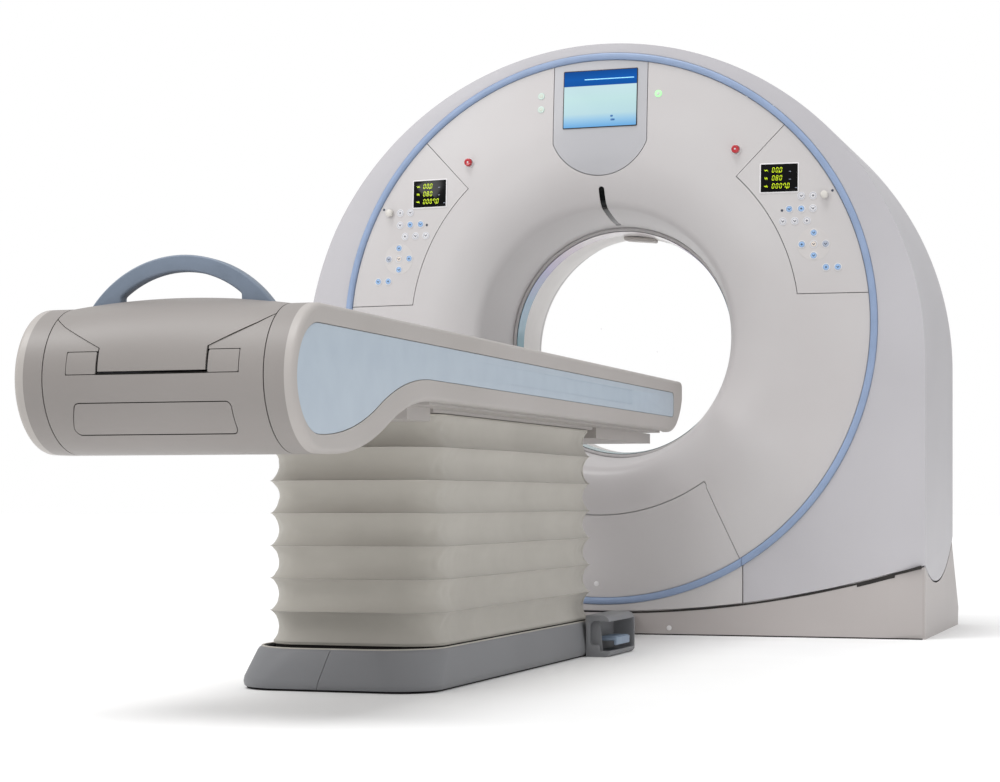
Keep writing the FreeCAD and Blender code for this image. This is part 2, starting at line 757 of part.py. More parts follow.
for side, word in ((1, "right"), (-1, "left")):
    mushroom(f"stop_button_{word}", f"{side} * Sizes.stop_x", "Sizes.stop_z",
             STOP_Y - 18, "Sizes.stop_radius", 10, 6, 32)
for side, word in ((1, "right"), (-1, "left")):
    mushroom(f"push_knob_{word}", f"{side} * Sizes.knob_x", "Sizes.knob_z",
             KNOB_Y - 20, "Sizes.knob_radius", 14, 4, 30)


# ---------------------------------------------------------------------------------------------
# Gantry, inside
# ---------------------------------------------------------------------------------------------

def ring_plate(outer, outer_sides, inner, inner_sides, start, end):
    """A ring plate about the tilt height, with flat sides outside and in its opening."""
    faces = []
    for radius, sides in ((outer, outer_sides), (inner, inner_sides)):
        turn = math.pi / sides
        faces.append(polygon([(radius * math.sin(2 * math.pi * i / sides + turn),
                               TILT_Z + radius * math.cos(2 * math.pi * i / sides + turn))
                              for i in range(sides)], in_xz))
    return prism_y(faces[0].cut(faces[1]).Faces[0], start, end)


def tilt_frame():
    """Ring plate with side boxes and the two trunnions it tilts on."""
    front = size("frame_front")
    back = front + size("frame_thick")
    plate = ring_plate(size("frame_outer"), 16, size("frame_inner"), 20, front, back)
    near = size("stand_near") - 12
    side_box = block((840, -70, TILT_Z - 170), (near, back, TILT_Z + 170))
    side_box = side_box.cut(block((852, -58, TILT_Z - 158), (near - 12, front - 12, TILT_Z + 158)))
    side_box = side_box.cut(block((800, -100, TILT_Z - 158), (853, front - 12, TILT_Z + 158)))
    trunnion = Part.makeCylinder(size("trunnion_radius"), size("stand_thick") + 12,
                                 Vector(near, 0, TILT_Z), Vector(1, 0, 0))
    half = side_box.fuse(trunnion)
    other = half.mirror(Vector(0, 0, 0), Vector(1, 0, 0))
    return plate.fuse(half).fuse(other)


def many_sided(radius, sides, y, z):
    """A regular polygon in YZ, for turned parts that nothing shows."""
    return polygon([(y + radius * math.cos(math.radians(360 * i / sides)),
                     z + radius * math.sin(math.radians(360 * i / sides))) for i in range(sides)], in_yz)


def tilt_stands():
    """Steel columns that carry the trunnions, standing on the base frame's feet."""
    near = size("stand_near")
    foot = size("foot_thick")
    profile = polygon([(0, foot), (0, 175), (-50, 330), (-50, TILT_Z), (50, TILT_Z),
                       (50, 400), (170, 175), (170, foot)], in_yz)
    column = prism_x(profile, near, near + size("stand_thick"))
    light = polygon([(18, 60), (18, 190), (-30, 340), (-30, 860), (30, 860), (30, 400),
                     (140, 190), (140, 60)], in_yz)
    column = column.cut(prism_x(light, near + 14, near + size("stand_thick") + 1))
    axis = Vector(1, 0, 0)
    boss = prism_x(many_sided(95, 20, 0, TILT_Z), near, near + size("stand_thick"))
    hole = Part.makeCylinder(size("trunnion_radius") + size("trunnion_clear"), 200,
                             Vector(near - 50, 0, TILT_Z), axis)
    return both_sides(column.fuse(boss).cut(hole))


feature("tilt_frame", tilt_frame())
feature("tilt_stands", tilt_stands())

bearing_disc = primitive("Part::Prism", "bearing_disc",
                         (0, "Sizes.frame_front - Sizes.bearing_width", "Sizes.tilt_height"), ALONG_Y,
                         Circumradius="Sizes.bearing_outer", Height="Sizes.bearing_width")
bearing_disc.Polygon = 24
bearing_hole = primitive("Part::Cylinder", "bearing_hole",
                         (0, "Sizes.frame_front - Sizes.bearing_width - 1", "Sizes.tilt_height"), ALONG_Y,
                         Radius="Sizes.bearing_bore + Sizes.bearing_clear",
                         Height="Sizes.bearing_width + 2")
keep("main_bearing", cut("main_bearing", bearing_disc, bearing_hole))
ROTOR_BACK = size("rotor_front") + size("rotor_thick")
rotor_plate = ring_plate(size("rotor_outer"), 20, size("rotor_inner"), 20, size("rotor_front"), ROTOR_BACK)
rotor_hub = drum_y(size("bearing_bore"), ROTOR_BACK, ROTOR_BACK + 75, TILT_Z)
rotor_hub = rotor_hub.cut(ring_plate(size("bearing_bore") - 45, 20, 10, 4, ROTOR_BACK - 1, ROTOR_BACK + 80))
rotor_hub = rotor_hub.cut(block((-20, 0, TILT_Z - 20), (20, 300, TILT_Z + 20)))
feature("rotor", rotor_plate.fuse(rotor_hub))
feature("slip_ring", ring_plate(size("slip_outer"), 24, size("slip_inner"), 24,
                                ROTOR_BACK, ROTOR_BACK + size("slip_thick")))
keep("brush_block", primitive(
    "Part::Box", "brush_block",
    ("-60", "Sizes.rotor_front + Sizes.rotor_thick + Sizes.slip_thick + 2",
     "Sizes.tilt_height - Sizes.slip_outer"),
    Length="120", Width="Sizes.frame_front - Sizes.rotor_front - Sizes.rotor_thick - Sizes.slip_thick - 2",
    Height="Sizes.slip_outer - Sizes.slip_inner"))

tube_can = primitive("Part::Prism", "tube_can",
                     (0, "Sizes.rotor_front - Sizes.tube_long", "Sizes.tilt_height + Sizes.tube_orbit"),
                     ALONG_Y, Circumradius="Sizes.tube_radius", Height="Sizes.tube_long")
tube_can.Polygon = 24
tube_neck = primitive("Part::Box", "tube_neck", (-60, -55, "Sizes.tilt_height + Sizes.tube_orbit - 110"),
                      Length="120", Width="110", Height="60")
keep("x_ray_tube", fuse("x_ray_tube", tube_can, tube_neck))


def collimator():
    """Tapered jaw housing between the tube and the bore."""
    top = TILT_Z + size("tube_orbit") - 110
    ends = [(100, 50, top), (130, 40, top - 50)]
    return stacked([[Vector(-x, -y, z), Vector(x, -y, z), Vector(x, y, z), Vector(-x, y, z)]
                    for x, y, z in ends])


def on_rotor(shape, degrees, orbit):
    """Swing a shape, drawn round the origin with its foot towards the axis, out onto the rotor."""
    copy = shape.copy()
    copy.translate(Vector(0, 0, orbit))
    copy.rotate(Vector(0, 0, 0), Vector(0, 1, 0), degrees)
    copy.translate(Vector(0, 0, TILT_Z))
    return copy


def generator():
    """High-voltage tank with cooling ribs, and its mirror twin for the other pole."""
    tank = block((-130, -120, 0), (130, size("rotor_front"), 210))
    for i in range(5):
        at = -100 + 50 * i
        tank = tank.fuse(block((at - 6, -138, 15), (at + 6, -119, 195)))
    return Part.makeCompound([on_rotor(tank, -62, 500), on_rotor(tank, 62, 500)])


def cooler():
    """Heat exchanger with a round fan opening."""
    case = block((-140, -100, 0), (140, size("rotor_front"), 170))
    fan = prism_y(polygon([(62 * math.sin(math.radians(22.5 * i)), 85 + 62 * math.cos(math.radians(22.5 * i)))
                           for i in range(16)], in_xz), -110, -70)
    return on_rotor(case.cut(fan), 108, 530)


def detector():
    """Arc of flat detector modules opposite the tube, with the posts that carry it."""
    inner = size("detector_inner")
    outer = inner + size("detector_deep")
    half = size("detector_wide") / 2

    def arc(low, high, modules=10, reach=39.0):
        angles = [math.radians(-reach + 2 * reach * i / modules) for i in range(modules + 1)]
        ends = [(low * math.sin(a), TILT_Z - low * math.cos(a)) for a in angles]
        ends += [(high * math.sin(a), TILT_Z - high * math.cos(a)) for a in reversed(angles)]
        return polygon(ends, in_xz)

    posts = prism_y(arc(outer - 50, outer), half, size("rotor_front"))
    return prism_y(arc(inner, outer), -half, half).fuse(posts)


feature("collimator", collimator())
feature("high_voltage_units", generator())
feature("tube_cooler", cooler())
feature("detector", detector())
feature("counterweight", on_rotor(block((-110, 10, 0), (110, size("rotor_front"), 150)), -108, 560))


# ---------------------------------------------------------------------------------------------
# Gantry base
# ---------------------------------------------------------------------------------------------

def base_outline(inset):
    """Base seen from the side, between its front and its sloping back."""
    return polygon([(FRONT + inset, -1), (FRONT + inset, 330), (430 - inset, 330),
                    (559 - inset, 180 - inset * 0.4), (661 - inset, 63), (644 - inset, -1)], in_yz)


def base_shell():
    outer = prism_x(base_outline(0), -HALF, HALF).cut(BEVEL)
    inner = prism_x(base_outline(WALL), -HALF + WALL, HALF - WALL).cut(moved_y(BEVEL, WALL))
    shell = outer.cut(inner).cut(block((-FAR, -FAR, -10), (FAR, FAR, 0)))
    return shell.cut(BASE_BARREL)


BASE = base_shell()
SIDE_START = HALF - WALL - 0.5
BACK_START = size("rear_face") + 20
feature("base_apron", BASE.common(block((-SIDE_START, -FAR, 0), (SIDE_START, 0, 400))))
feature("base_rear_cover", BASE.common(block((-SIDE_START, 0, 0), (SIDE_START, FAR, 400))))
right_side = BASE.common(block((SIDE_START + 0.5, -FAR, 0), (FAR, FAR, 400)))
feature("base_side_cover_right", right_side)
feature("base_side_cover_left", right_side.mirror(Vector(0, 0, 0), Vector(1, 0, 0)))

foot_right = primitive("Part::Box", "foot_right", ("Sizes.stand_near - 15", "Sizes.front_face + 24", 0),
                       Length="105", Width="930", Height="Sizes.foot_thick")
foot_left = mirrored("foot_left", foot_right)
beam_front = primitive("Part::Box", "beam_front",
                       ("-Sizes.stand_near", "Sizes.front_face + 24", 0),
                       Length="2 * Sizes.stand_near", Width="60", Height="36")
beam_rear = primitive("Part::Box", "beam_rear", ("-Sizes.stand_near", 540, 0),
                      Length="2 * Sizes.stand_near", Width="60", Height="50")
welded = fuse("base_weldment", foot_right, foot_left, beam_front, beam_rear)
drills = [primitive("Part::Cylinder", f"anchor_{i}", (f"{s} * Sizes.foot_middle", where, -1),
                    Radius="Sizes.anchor_radius", Height="Sizes.foot_thick + 2")
          for i, (s, where) in enumerate((s, w) for s in (1, -1)
                                         for w in ("Sizes.anchor_front", "Sizes.anchor_rear"))]
keep("gantry_base_frame", cut("gantry_base_frame", welded, together("base_drills", *drills)))

gearbox = primitive("Part::Prism", "gearbox",
                    ("Sizes.stand_near + Sizes.stand_thick", 0, "Sizes.tilt_height"), ALONG_X,
                    Circumradius="74", Height="21")
gearbox.Polygon = 24
motor = primitive("Part::Box", "tilt_motor",
                  ("Sizes.stand_near + Sizes.stand_thick", -45, "Sizes.tilt_height - 210"),
                  Length="24", Width="90", Height="150")
drive_bore = primitive("Part::Prism", "tilt_drive_bore",
                       ("Sizes.stand_near", 0, "Sizes.tilt_height"), ALONG_X,
                       Circumradius="Sizes.trunnion_radius + 3", Height="200")
drive_bore.Polygon = 20
keep("tilt_drive", cut("tilt_drive", fuse("tilt_drive_case", gearbox, motor), drive_bore))

link_outer = primitive("Part::Box", "link_outer", ("-Sizes.link_half", "Sizes.link_start", 0),
                       Length="2 * Sizes.link_half", Width="Sizes.link_end - Sizes.link_start",
                       Height="Sizes.link_tall")
link_inner = primitive("Part::Box", "link_inner",
                       ("-Sizes.link_half + 4", "Sizes.link_start + 4", -4),
                       Length="2 * Sizes.link_half - 8", Width="Sizes.link_end - Sizes.link_start - 8",
                       Height="Sizes.link_tall")
keep("link_cover", cut("link_cover", link_outer, link_inner))


# ---------------------------------------------------------------------------------------------
# Couch base
# ---------------------------------------------------------------------------------------------

plate_body = doc.addObject("PartDesign::Body", "couch_base_plate")
plate_sketch = sketch(plate_body, "XY_Plane", "base_plate_outline")
plate_end = size("plate_foot") + size("plate_long")
outline(plate_sketch, [(-size("plate_half"), "plate_foot"), ("plate_half", "plate_foot"),
                       ("plate_half", plate_end), (-size("plate_half"), plate_end)])
plate_pad = plate_body.newObject("PartDesign::Pad", "base_plate_pad")
plate_pad.Profile = plate_sketch
plate_pad.setExpression("Length", "Sizes.plate_thick")
hole_sketch = sketch(plate_body, "XY_Plane", "anchor_holes")
for sign in (1, -1):
    for where in ("couch_anchor_foot", "couch_anchor_gantry"):
        spot = Vector(sign * size("couch_anchor_x"), size(where), 0)
        circle = hole_sketch.addGeometry(Part.Circle(spot, Vector(0, 0, 1), size("couch_anchor_radius")))
        across = hole_sketch.addConstraint(
            Sketcher.Constraint("DistanceX", -1, 1, circle, 3, spot.x))
        hole_sketch.setExpression(f"Constraints[{across}]", f"{sign} * Sizes.couch_anchor_x")
        along = hole_sketch.addConstraint(Sketcher.Constraint("DistanceY", -1, 1, circle, 3, spot.y))
        hole_sketch.setExpression(f"Constraints[{along}]", "Sizes." + where)
        wide = hole_sketch.addConstraint(
            Sketcher.Constraint("Radius", circle, size("couch_anchor_radius")))
        hole_sketch.setExpression(f"Constraints[{wide}]", "Sizes.couch_anchor_radius")
holes = plate_body.newObject("PartDesign::Pocket", "anchor_pocket")
holes.Profile = hole_sketch
holes.Type = "ThroughAll"
holes.Reversed = True
track_sketch = sketch(plate_body, "XY_Plane", "roller_tracks")
track_start = size("arm_pivot_y") + size("arm_long") * 0.8
for i, sign in enumerate((1, -1)):
    low_x, high_x = sorted((sign * 148, sign * 178))
    corners = [Vector(low_x, track_start, 0), Vector(high_x, track_start, 0),
               Vector(high_x, plate_end - 60, 0), Vector(low_x, plate_end - 60, 0)]
    for j in range(4):
        track_sketch.addGeometry(Part.LineSegment(corners[j], corners[(j + 1) % 4]))
    for j in range(4):
        track_sketch.addConstraint(
            Sketcher.Constraint("Coincident", 4 * i + j, 2, 4 * i + (j + 1) % 4, 1))
tracks = plate_body.newObject("PartDesign::Pad", "track_pad")
tracks.Profile = track_sketch
tracks.setExpression("Length", "Sizes.plate_thick + 12")
lugs_sketch = sketch(plate_body, "XY_Plane", "pivot_lugs")
for i, sign in enumerate((1, -1)):
    low_x, high_x = sorted((sign * 80, sign * 94))
    corners = [Vector(low_x, size("arm_pivot_y") - 30, 0), Vector(high_x, size("arm_pivot_y") - 30, 0),
               Vector(high_x, size("arm_pivot_y") + 30, 0), Vector(low_x, size("arm_pivot_y") + 30, 0)]
    for j in range(4):
        lugs_sketch.addGeometry(Part.LineSegment(corners[j], corners[(j + 1) % 4]))
    for j in range(4):
        lugs_sketch.addConstraint(
            Sketcher.Constraint("Coincident", 4 * i + j, 2, 4 * i + (j + 1) % 4, 1))
lugs = plate_body.newObject("PartDesign::Pad", "lug_pad")
lugs.Profile = lugs_sketch
lugs.setExpression("Length", "Sizes.arm_pivot_low + 22")
pin_sketch = sketch(plate_body, "YZ_Plane", "lug_bore")
pin_circle = pin_sketch.addGeometry(Part.Circle(Vector(size("arm_pivot_y"), size("arm_pivot_low"), 0),
                                                Vector(0, 0, 1), 10.08))
for kind, alias in (("DistanceX", "arm_pivot_y"), ("DistanceY", "arm_pivot_low")):
    held = pin_sketch.addConstraint(Sketcher.Constraint(kind, -1, 1, pin_circle, 3, size(alias)))
    pin_sketch.setExpression(f"Constraints[{held}]", "Sizes." + alias)
pin_bore = plate_body.newObject("PartDesign::Pocket", "lug_bore_pocket")
pin_bore.Profile = pin_sketch
pin_bore.Type = "ThroughAll"
pin_bore.Midplane = True
plate_body.Tip = pin_bore
keep("couch_base_plate", plate_body)


def plinth_outline(half, foot, bend, height):
    """Plan of the plinth at a height: foot end with rounded corners, square gantry end."""
    end = size("plinth_gantry")
    points = [Vector(half, end, height), Vector(-half, end, height)]
    for x, start in ((-half + bend, 180), (half - bend, 270)):
        for step in range(7):
            angle = math.radians(start + 15 * step)
            points.append(Vector(x + bend * math.cos(angle), foot + bend + bend * math.sin(angle), height))
    return points


def couch_plinth():
    """Sloping skirt with a turned-in top that the bellows stands on."""
    tall = size("plinth_tall")
    low = (size("plinth_half"), size("plinth_foot"), size("plinth_bend"))
    high = (size("plinth_top_half"), size("plinth_top_foot"), size("plinth_top_bend"))
    outer = stacked([plinth_outline(*low, 0), plinth_outline(*high, tall)])
    inner = stacked([plinth_outline(low[0] - 4, low[1] + 4, low[2] - 4, -1),
                     plinth_outline(high[0] - 4, high[1] + 4, high[2] - 4, tall - 4)])
    inner = inner.cut(block((-FAR, size("plinth_gantry") - 4, -10), (FAR, FAR, tall)))
    opening = block((-185, -2620, tall - 10), (185, -1270, tall + 1))
    return outer.cut(inner).cut(opening)


def pleat_outline(inset, height, flats):
    """Plan outline of the bellows: a rectangle whose corners turn in so many flats."""
    half = size("bellows_half") - inset
    low = size("bellows_foot") + inset
    high = size("bellows_gantry") - inset
    bend = size("bellows_corner") - inset
    corners = [(half - bend, low + bend, -90), (half - bend, high - bend, 0),
               (-half + bend, high - bend, 90), (-half + bend, low + bend, 180)]
    points = []
    for x, y, start in corners:
        for step in range(flats + 1):
            angle = math.radians(start + 90 * step / flats)
            points.append(Vector(x + bend * math.cos(angle), y + bend * math.sin(angle), height))
    return points


def bellows():
    """Lift cover: bays that bulge between valleys, with a sharp ridge between each two bays."""
    bays = int(size("bellows_bays"))
    low = size("bellows_low")
    high = size("bellows_high")
    pitch = (high - low) / bays
    deep = size("bellows_deep")
    levels = [(low, deep * 0.55)]
    for bay in range(bays):
        middle = low + pitch * (bay + 0.5)
        levels.append((middle - pitch * 0.2, deep * 0.95))
        levels.append((middle + pitch * 0.2, deep * 0.95))
        levels.append((low + pitch * (bay + 1), 0.0 if bay < bays - 1 else deep * 0.55))
    outer = stacked([pleat_outline(inset, height, 4) for height, inset in levels])
    return outer.cut(stacked([pleat_outline(deep + 4, height, 2) for height in (low - 1, high + 1)]))


def pedal_housings():
    """Open boxes beside the plinth's gantry end: wall, hood and tray round each pedal."""
    near = size("plinth_half") + 1
    case = block((near, -1432, 0), (near + 72, -1140, 122))
    edge = [e for e in case.Edges if abs(e.CenterOfMass.x - near - 72) < 1 and e.CenterOfMass.z > 121]
    case = case.makeChamfer(28, edge)
    pocket = block((near + 4, -1424, 12), (near + 100, -1146, 112))
    window = block((near + 30, -1410, 6), (near + 100, -1156, 30))
    return both_sides(case.cut(pocket).cut(window))


feature("couch_plinth", couch_plinth())
feature("bellows", bellows())
feature("pedal_housings", pedal_housings())
drive_case = primitive("Part::Box", "drive_case", (-60, -2400, "Sizes.plate_thick"),
                       Length="120", Width="200", Height="85")
drive_screw = primitive("Part::Cylinder", "drive_screw", (0, -2201, "Sizes.plate_thick + 35"), ALONG_Y,
                        Radius="14", Height="551")
keep("lift_drive", fuse("lift_drive", drive_case, drive_screw))


def pedal(side):
    """Foot pedal: a plate with rounded edges, hinged on a pin at its inner edge."""
    long = size("pedal_long")
    wide = size("pedal_wide")
    thick = size("pedal_thick")
    near = size("plinth_half") + 14
    plate = block((near, -1285 - long / 2, 44), (near + wide, -1285 + long / 2, 44 + thick))
    long_edges = [e for e in plate.Edges if abs(e.CenterOfMass.x - near - wide) < 1]
    plate = plate.makeChamfer(3, long_edges)
    pin = Part.makeCylinder(4, long + 24, Vector(near + 1, -1285 - long / 2 - 12, 50), Vector(0, 1, 0))
    whole = plate.fuse(pin)
    return whole if side > 0 else whole.mirror(Vector(0, 0, 0), Vector(1, 0, 0))


feature("pedal_right", pedal(1))
feature("pedal_left", pedal(-1))


# ---------------------------------------------------------------------------------------------
# Scissor lift
# ---------------------------------------------------------------------------------------------

ARM_RISE = size("arm_pivot_high") - size("arm_pivot_low")
ARM_ANGLE = math.degrees(math.asin(ARM_RISE / size("arm_long")))


def arm_pair(offset, roller_at, low_fixed):
    """Two parallel bars with a cross tube at the fixed end and rollers at the rolling end."""
    long = size("arm_long")
    bar = block((offset, 0, -20), (offset + 12, long, 20))
    bars = both_sides(bar)
    pin_half = offset + (12 if low_fixed else 28)
    tube = Part.makeCylinder(10, 2 * pin_half, Vector(-pin_half, 0, 0), Vector(1, 0, 0))
    axle_half = max(offset + 12, roller_at + 10)
    axle = prism_x(many_sided(10, 10, long, 0), -axle_half, axle_half)
    roller = both_sides(prism_x(many_sided(22, 14, long, 0), roller_at - 8, roller_at + 8))
    arm = Part.makeCompound([]).fuse(list(bars.Solids) + [tube, axle] + list(roller.Solids))
    arm.rotate(Vector(0, 0, 0), Vector(1, 0, 0), ARM_ANGLE if low_fixed else -ARM_ANGLE)
    arm.translate(Vector(0, size("arm_pivot_y"),
                         size("arm_pivot_low") if low_fixed else size("arm_pivot_high")))
    return arm


feature("scissor_arm_lower", arm_pair(100, 74, True))
feature("scissor_arm_upper", arm_pair(124, 163, False))


# ---------------------------------------------------------------------------------------------
# Couch frame and its covers
# ---------------------------------------------------------------------------------------------

COUCH = size("couch_half")
SIDE_IN = COUCH - size("side_thick")
TOP = size("table_top")
UNDER = size("beam_under")
HEAD = size("beam_head")
DRUM_Y = size("drum_y")
DRUM_Z = size("drum_z")
DRUM_R = size("drum_radius")


def side_outline(inset):
    """Couch side: straight beam, S-bend and round foot bulb, inset by a parallel distance."""
    head_low = (-640.0, UNDER + inset)
    beam_low = (-2880.0, UNDER + inset)
    bulb_low = (-3500.0, DRUM_Z - DRUM_R + inset)
    sag = (beam_low[1] - bulb_low[1])
    run = beam_low[0] - bulb_low[0]
    turn = 2 * math.degrees(math.atan2(sag, run))
    reach = math.hypot(sag, run) / 2
    bend = reach / (2 * math.sin(math.radians(turn / 2)))
    curve = walk(bulb_low, 0, [(bend, turn), (bend, -turn)])
    radius = DRUM_R - inset
    centre = (DRUM_Y, DRUM_Z)
    top = TOP - inset
    foot = [(DRUM_Y, top), (DRUM_Y - radius, DRUM_Z), (DRUM_Y, DRUM_Z - radius)]
    head_x = HEAD - inset
    pieces = [foot, [(DRUM_Y, centre[1] - radius), bulb_low]] + curve
    pieces += [[beam_low, head_low],
               [head_low, (-492.0 - inset * 0.8, 722.0 + inset * 0.5), (head_x, 797.0)],
               [(head_x, 797.0), (head_x, top)], [(head_x, top), (DRUM_Y, top)]]
    return loop(pieces, in_yz)


def inlay_outline(gap):
    """Blue inlay: a long flat bar that runs into the round bulb."""
    low = (-2915.0, 733.0 + gap)
    top = 815.0 - gap
    bulb = 590.0 + gap
    centre_y = -3585.0
    radius = (top - bulb) / 2
    start = (centre_y, bulb)
    sag = low[1] - bulb
    run = low[0] - start[0]
    turn = 2 * math.degrees(math.atan2(sag, run))
    reach = math.hypot(sag, run) / 2
    bend = reach / (2 * math.sin(math.radians(turn / 2)))
    curve = walk(start, 0, [(bend, turn), (bend, -turn)])
    end_y = -560.0 - gap
    corner = 18.0
    pieces = [[(centre_y, top), (centre_y - radius, (top + bulb) / 2), start]] + curve
    pieces += [[low, (end_y - corner, low[1])],
               [(end_y - corner, low[1]), (end_y - corner * 0.3, low[1] + corner * 0.3),
                (end_y, low[1] + corner)],
               [(end_y, low[1] + corner), (end_y, top - corner)],
               [(end_y, top - corner), (end_y - corner * 0.3, top - corner * 0.3),
                (end_y - corner, top)],
               [(end_y - corner, top), (centre_y, top)]]
    return loop(pieces, in_yz)


def side_cover():
    plate = prism_x(side_outline(0), SIDE_IN, COUCH)
    rim = [e for e in plate.Edges if abs(e.CenterOfMass.x - COUCH) < 0.5]
    plate = plate.makeChamfer(9, rim)
    recess = prism_x(inlay_outline(0), COUCH - 5, COUCH + 1)
    return plate.cut(recess)


def table_channel(gap):
    """Section of the space that the tabletop's end cover and carriage travel in."""
    return polygon([(-119 - gap, 717 - gap), (119 + gap, 717 - gap), (119 + gap, 765), (214 + gap, 812),
                    (243 + gap, 830), (243 + gap, 1000), (-243 - gap, 1000), (-243 - gap, 830),
                    (-214 - gap, 812), (-119 - gap, 765)], in_xz)


def drum_wall(gap, wall, *more):
    """Section of the drum's skin in twelve flats, from its top round the foot end to its bottom."""
    start = (DRUM_Y, DRUM_Z + DRUM_R + gap)
    steps = [(DRUM_R + gap, 180.0)] + [step for step, _ in more]
    counts = [12] + [count for _, count in more]
    return polygon(banded(start, 180, steps, wall, counts, counts), in_yz)


def foot_cover():
    """Lower shell of the drum and the S-curved underside behind it."""
    half = size("drum_half")
    low = (-3500.0, DRUM_Z - DRUM_R + 2)
    beam = (-2880.0, UNDER + 2)
    turn = 2 * math.degrees(math.atan2(beam[1] - low[1], beam[0] - low[0]))
    reach = math.hypot(beam[1] - low[1], beam[0] - low[0]) / 2
    bend = reach / (2 * math.sin(math.radians(turn / 2)))
    face = drum_wall(0, WALL, (low[0] - DRUM_Y, 1), ((bend, turn), 3), ((bend, -turn), 3))
    shell = prism_x(face, -half, half)
    shell = shell.cut(prism_y(table_channel(3), -3800, -3400))
    return shell.cut(block((-163, -3800, 592), (163, -3600, 653)))


def crowned_drum(inset):
    """Upper half of the drum, higher in the middle than at its sides, as a solid."""
    half = size("drum_half")
    end = size("cradle_foot") - SEAM
    deep = DRUM_R - inset
    rows = []
    for step in range(-3, 4):
        x = half * step / 3
        rise = DRUM_R + size("crown") * (1 - (step / 3) ** 2) - inset
        bend = [math.radians(15 * i) for i in range(7)]
        row = [Vector(x, DRUM_Y - deep * math.cos(a), DRUM_Z + rise * math.sin(a)) for a in bend]
        rows.append([Vector(x, end, DRUM_Z)] + row + [Vector(x, end, DRUM_Z + rise)])
    faces = [Part.Face(Part.makePolygon(row + row[:1])) for row in (rows[0], rows[-1])]
    for one, two in zip(rows, rows[1:]):
        for i in range(len(one)):
            j = (i + 1) % len(one)
            faces.append(Part.Face(Part.makePolygon([one[i], one[j], two[j], one[i]])))
            faces.append(Part.Face(Part.makePolygon([one[i], two[j], two[i], one[i]])))
    return solid_of(faces)


def foot_caps():
    """End caps of the drum between its seams and the side covers."""
    end = -3470.0
    bend = [math.radians(90 + 15 * i) for i in range(13)]
    points = [(DRUM_Y + DRUM_R * math.cos(a), DRUM_Z + DRUM_R * math.sin(a)) for a in bend]
    points += [(-3500.0, DRUM_Z - DRUM_R), (end, DRUM_Z - DRUM_R + 12), (end, DRUM_Z + DRUM_R)]
    return both_sides(prism_x(polygon(points, in_yz), size("drum_half") + SEAM, SIDE_IN))


def service_panel():
    """Rounded flat panel set in the drum's lower front."""
    plate = prism_x(drum_wall(0, WALL), -161.5, 161.5)
    return plate.common(block((-161.5, -3800, 593.5), (161.5, -3600, 651.5)))


def latch_panels():
    """Two square lids beside the end cover."""
    skin = prism_x(drum_wall(1.5, 1.3), 124, 190)
    return both_sides(skin.common(block((124, -3800, 712), (190, -3600, 757))))


def couch_frame():
    """Steel frame: floor plate, box rails, head plate, and the tracks for the scissor."""
    floor_plate = block((-286, -3440, UNDER + 6), (286, -530, UNDER + 16))
    rails = both_sides(block((228, -3440, UNDER + 16), (284, -532, 800)))
    guides = both_sides(block((126, -3400, UNDER + 16), (140, -1700, 758)))
    head = block((-286, -542, UNDER + 16), (286, -530, 806))
    frame = floor_plate.fuse(list(rails.Solids) + list(guides.Solids) + [head])
    return frame


def frame_pan():
    """Underside pan with the brackets that carry the scissor's upper ends."""
    flat = block((-284, -2860, UNDER - 6), (284, -640, UNDER + 6))
    deep = block((-225, -1205, 648), (225, -535, UNDER - 6))
    top_plate = block((-222, -2660, 671), (222, -1232, UNDER - 6))
    foot_part = block((-225, -2850, 648), (225, -2690, UNDER - 6))
    pan = flat.fuse([top_plate, deep, foot_part])
    pivot = Vector(0, size("arm_pivot_y"), size("arm_pivot_high"))
    lug = block((138, pivot.y - 28, pivot.z - 22), (150, pivot.y + 28, 672))
    lug = lug.cut(Part.makeCylinder(10.08, 60, Vector(120, pivot.y, pivot.z), Vector(1, 0, 0)))
    reach = pivot.y + size("arm_long") * math.cos(math.radians(ARM_ANGLE))
    track = block((62, reach - 40, pivot.z + 36), (86, reach + 220, 672))
    return pan.fuse(list(both_sides(lug).Solids) + list(both_sides(track).Solids))


right_cover = side_cover()
feature("side_cover_right", right_cover)
feature("side_cover_left", right_cover.mirror(Vector(0, 0, 0), Vector(1, 0, 0)))
feature("side_inlays", both_sides(prism_x(inlay_outline(1.5), COUCH - 5, COUCH - 1)))
feature("foot_cover", foot_cover())
feature("foot_caps", foot_caps())
feature("service_panel", service_panel())
feature("latch_panels", latch_panels())
feature("couch_frame", couch_frame())
feature("frame_pan", frame_pan())


# ---------------------------------------------------------------------------------------------
# Tabletop
# ---------------------------------------------------------------------------------------------

def cradle():
    """Concave tabletop, the same section from foot to head, rounded at the head."""
    half = size("cradle_half")
    edge = size("cradle_edge")
    dip = size("cradle_dip")
    thick = size("cradle_thick")
    pieces = [[(-half, edge), (0.0, edge - dip), (half, edge)],
              [(half, edge), (half, edge - thick * 0.5)],
              [(half, edge - thick * 0.5), (0.0, edge - dip - thick), (-half, edge - thick * 0.5)],
              [(-half, edge - thick * 0.5), (-half, edge)]]
    top = prism_y(loop(pieces, in_xz), size("cradle_foot"), size("cradle_head"))
    keep_in = block((-half, -3900, 700), (half, size("cradle_head"), 900))
    uprights = [e for e in keep_in.Edges if abs(e.CenterOfMass.z - 800) < 1
                and abs(e.CenterOfMass.y - size("cradle_head")) < 1]
    return top.common(keep_in.makeFillet(70, uprights))


def carriage():
    """Aluminium beam under the cradle that runs in the couch frame."""
    beam = block((-108, -3600, 724), (108, -2170, 790))
    beam = beam.cut(block((-96, -3610, 736), (96, -2160, 778)))
    saddles = [block((-120, at, 789), (120, at + 80, 816)) for at in (-3500, -2900, -2290)]
    return beam.fuse(saddles).cut(NODES["tabletop_cradle"].Shape)


END_DRUM = crowned_drum(0)


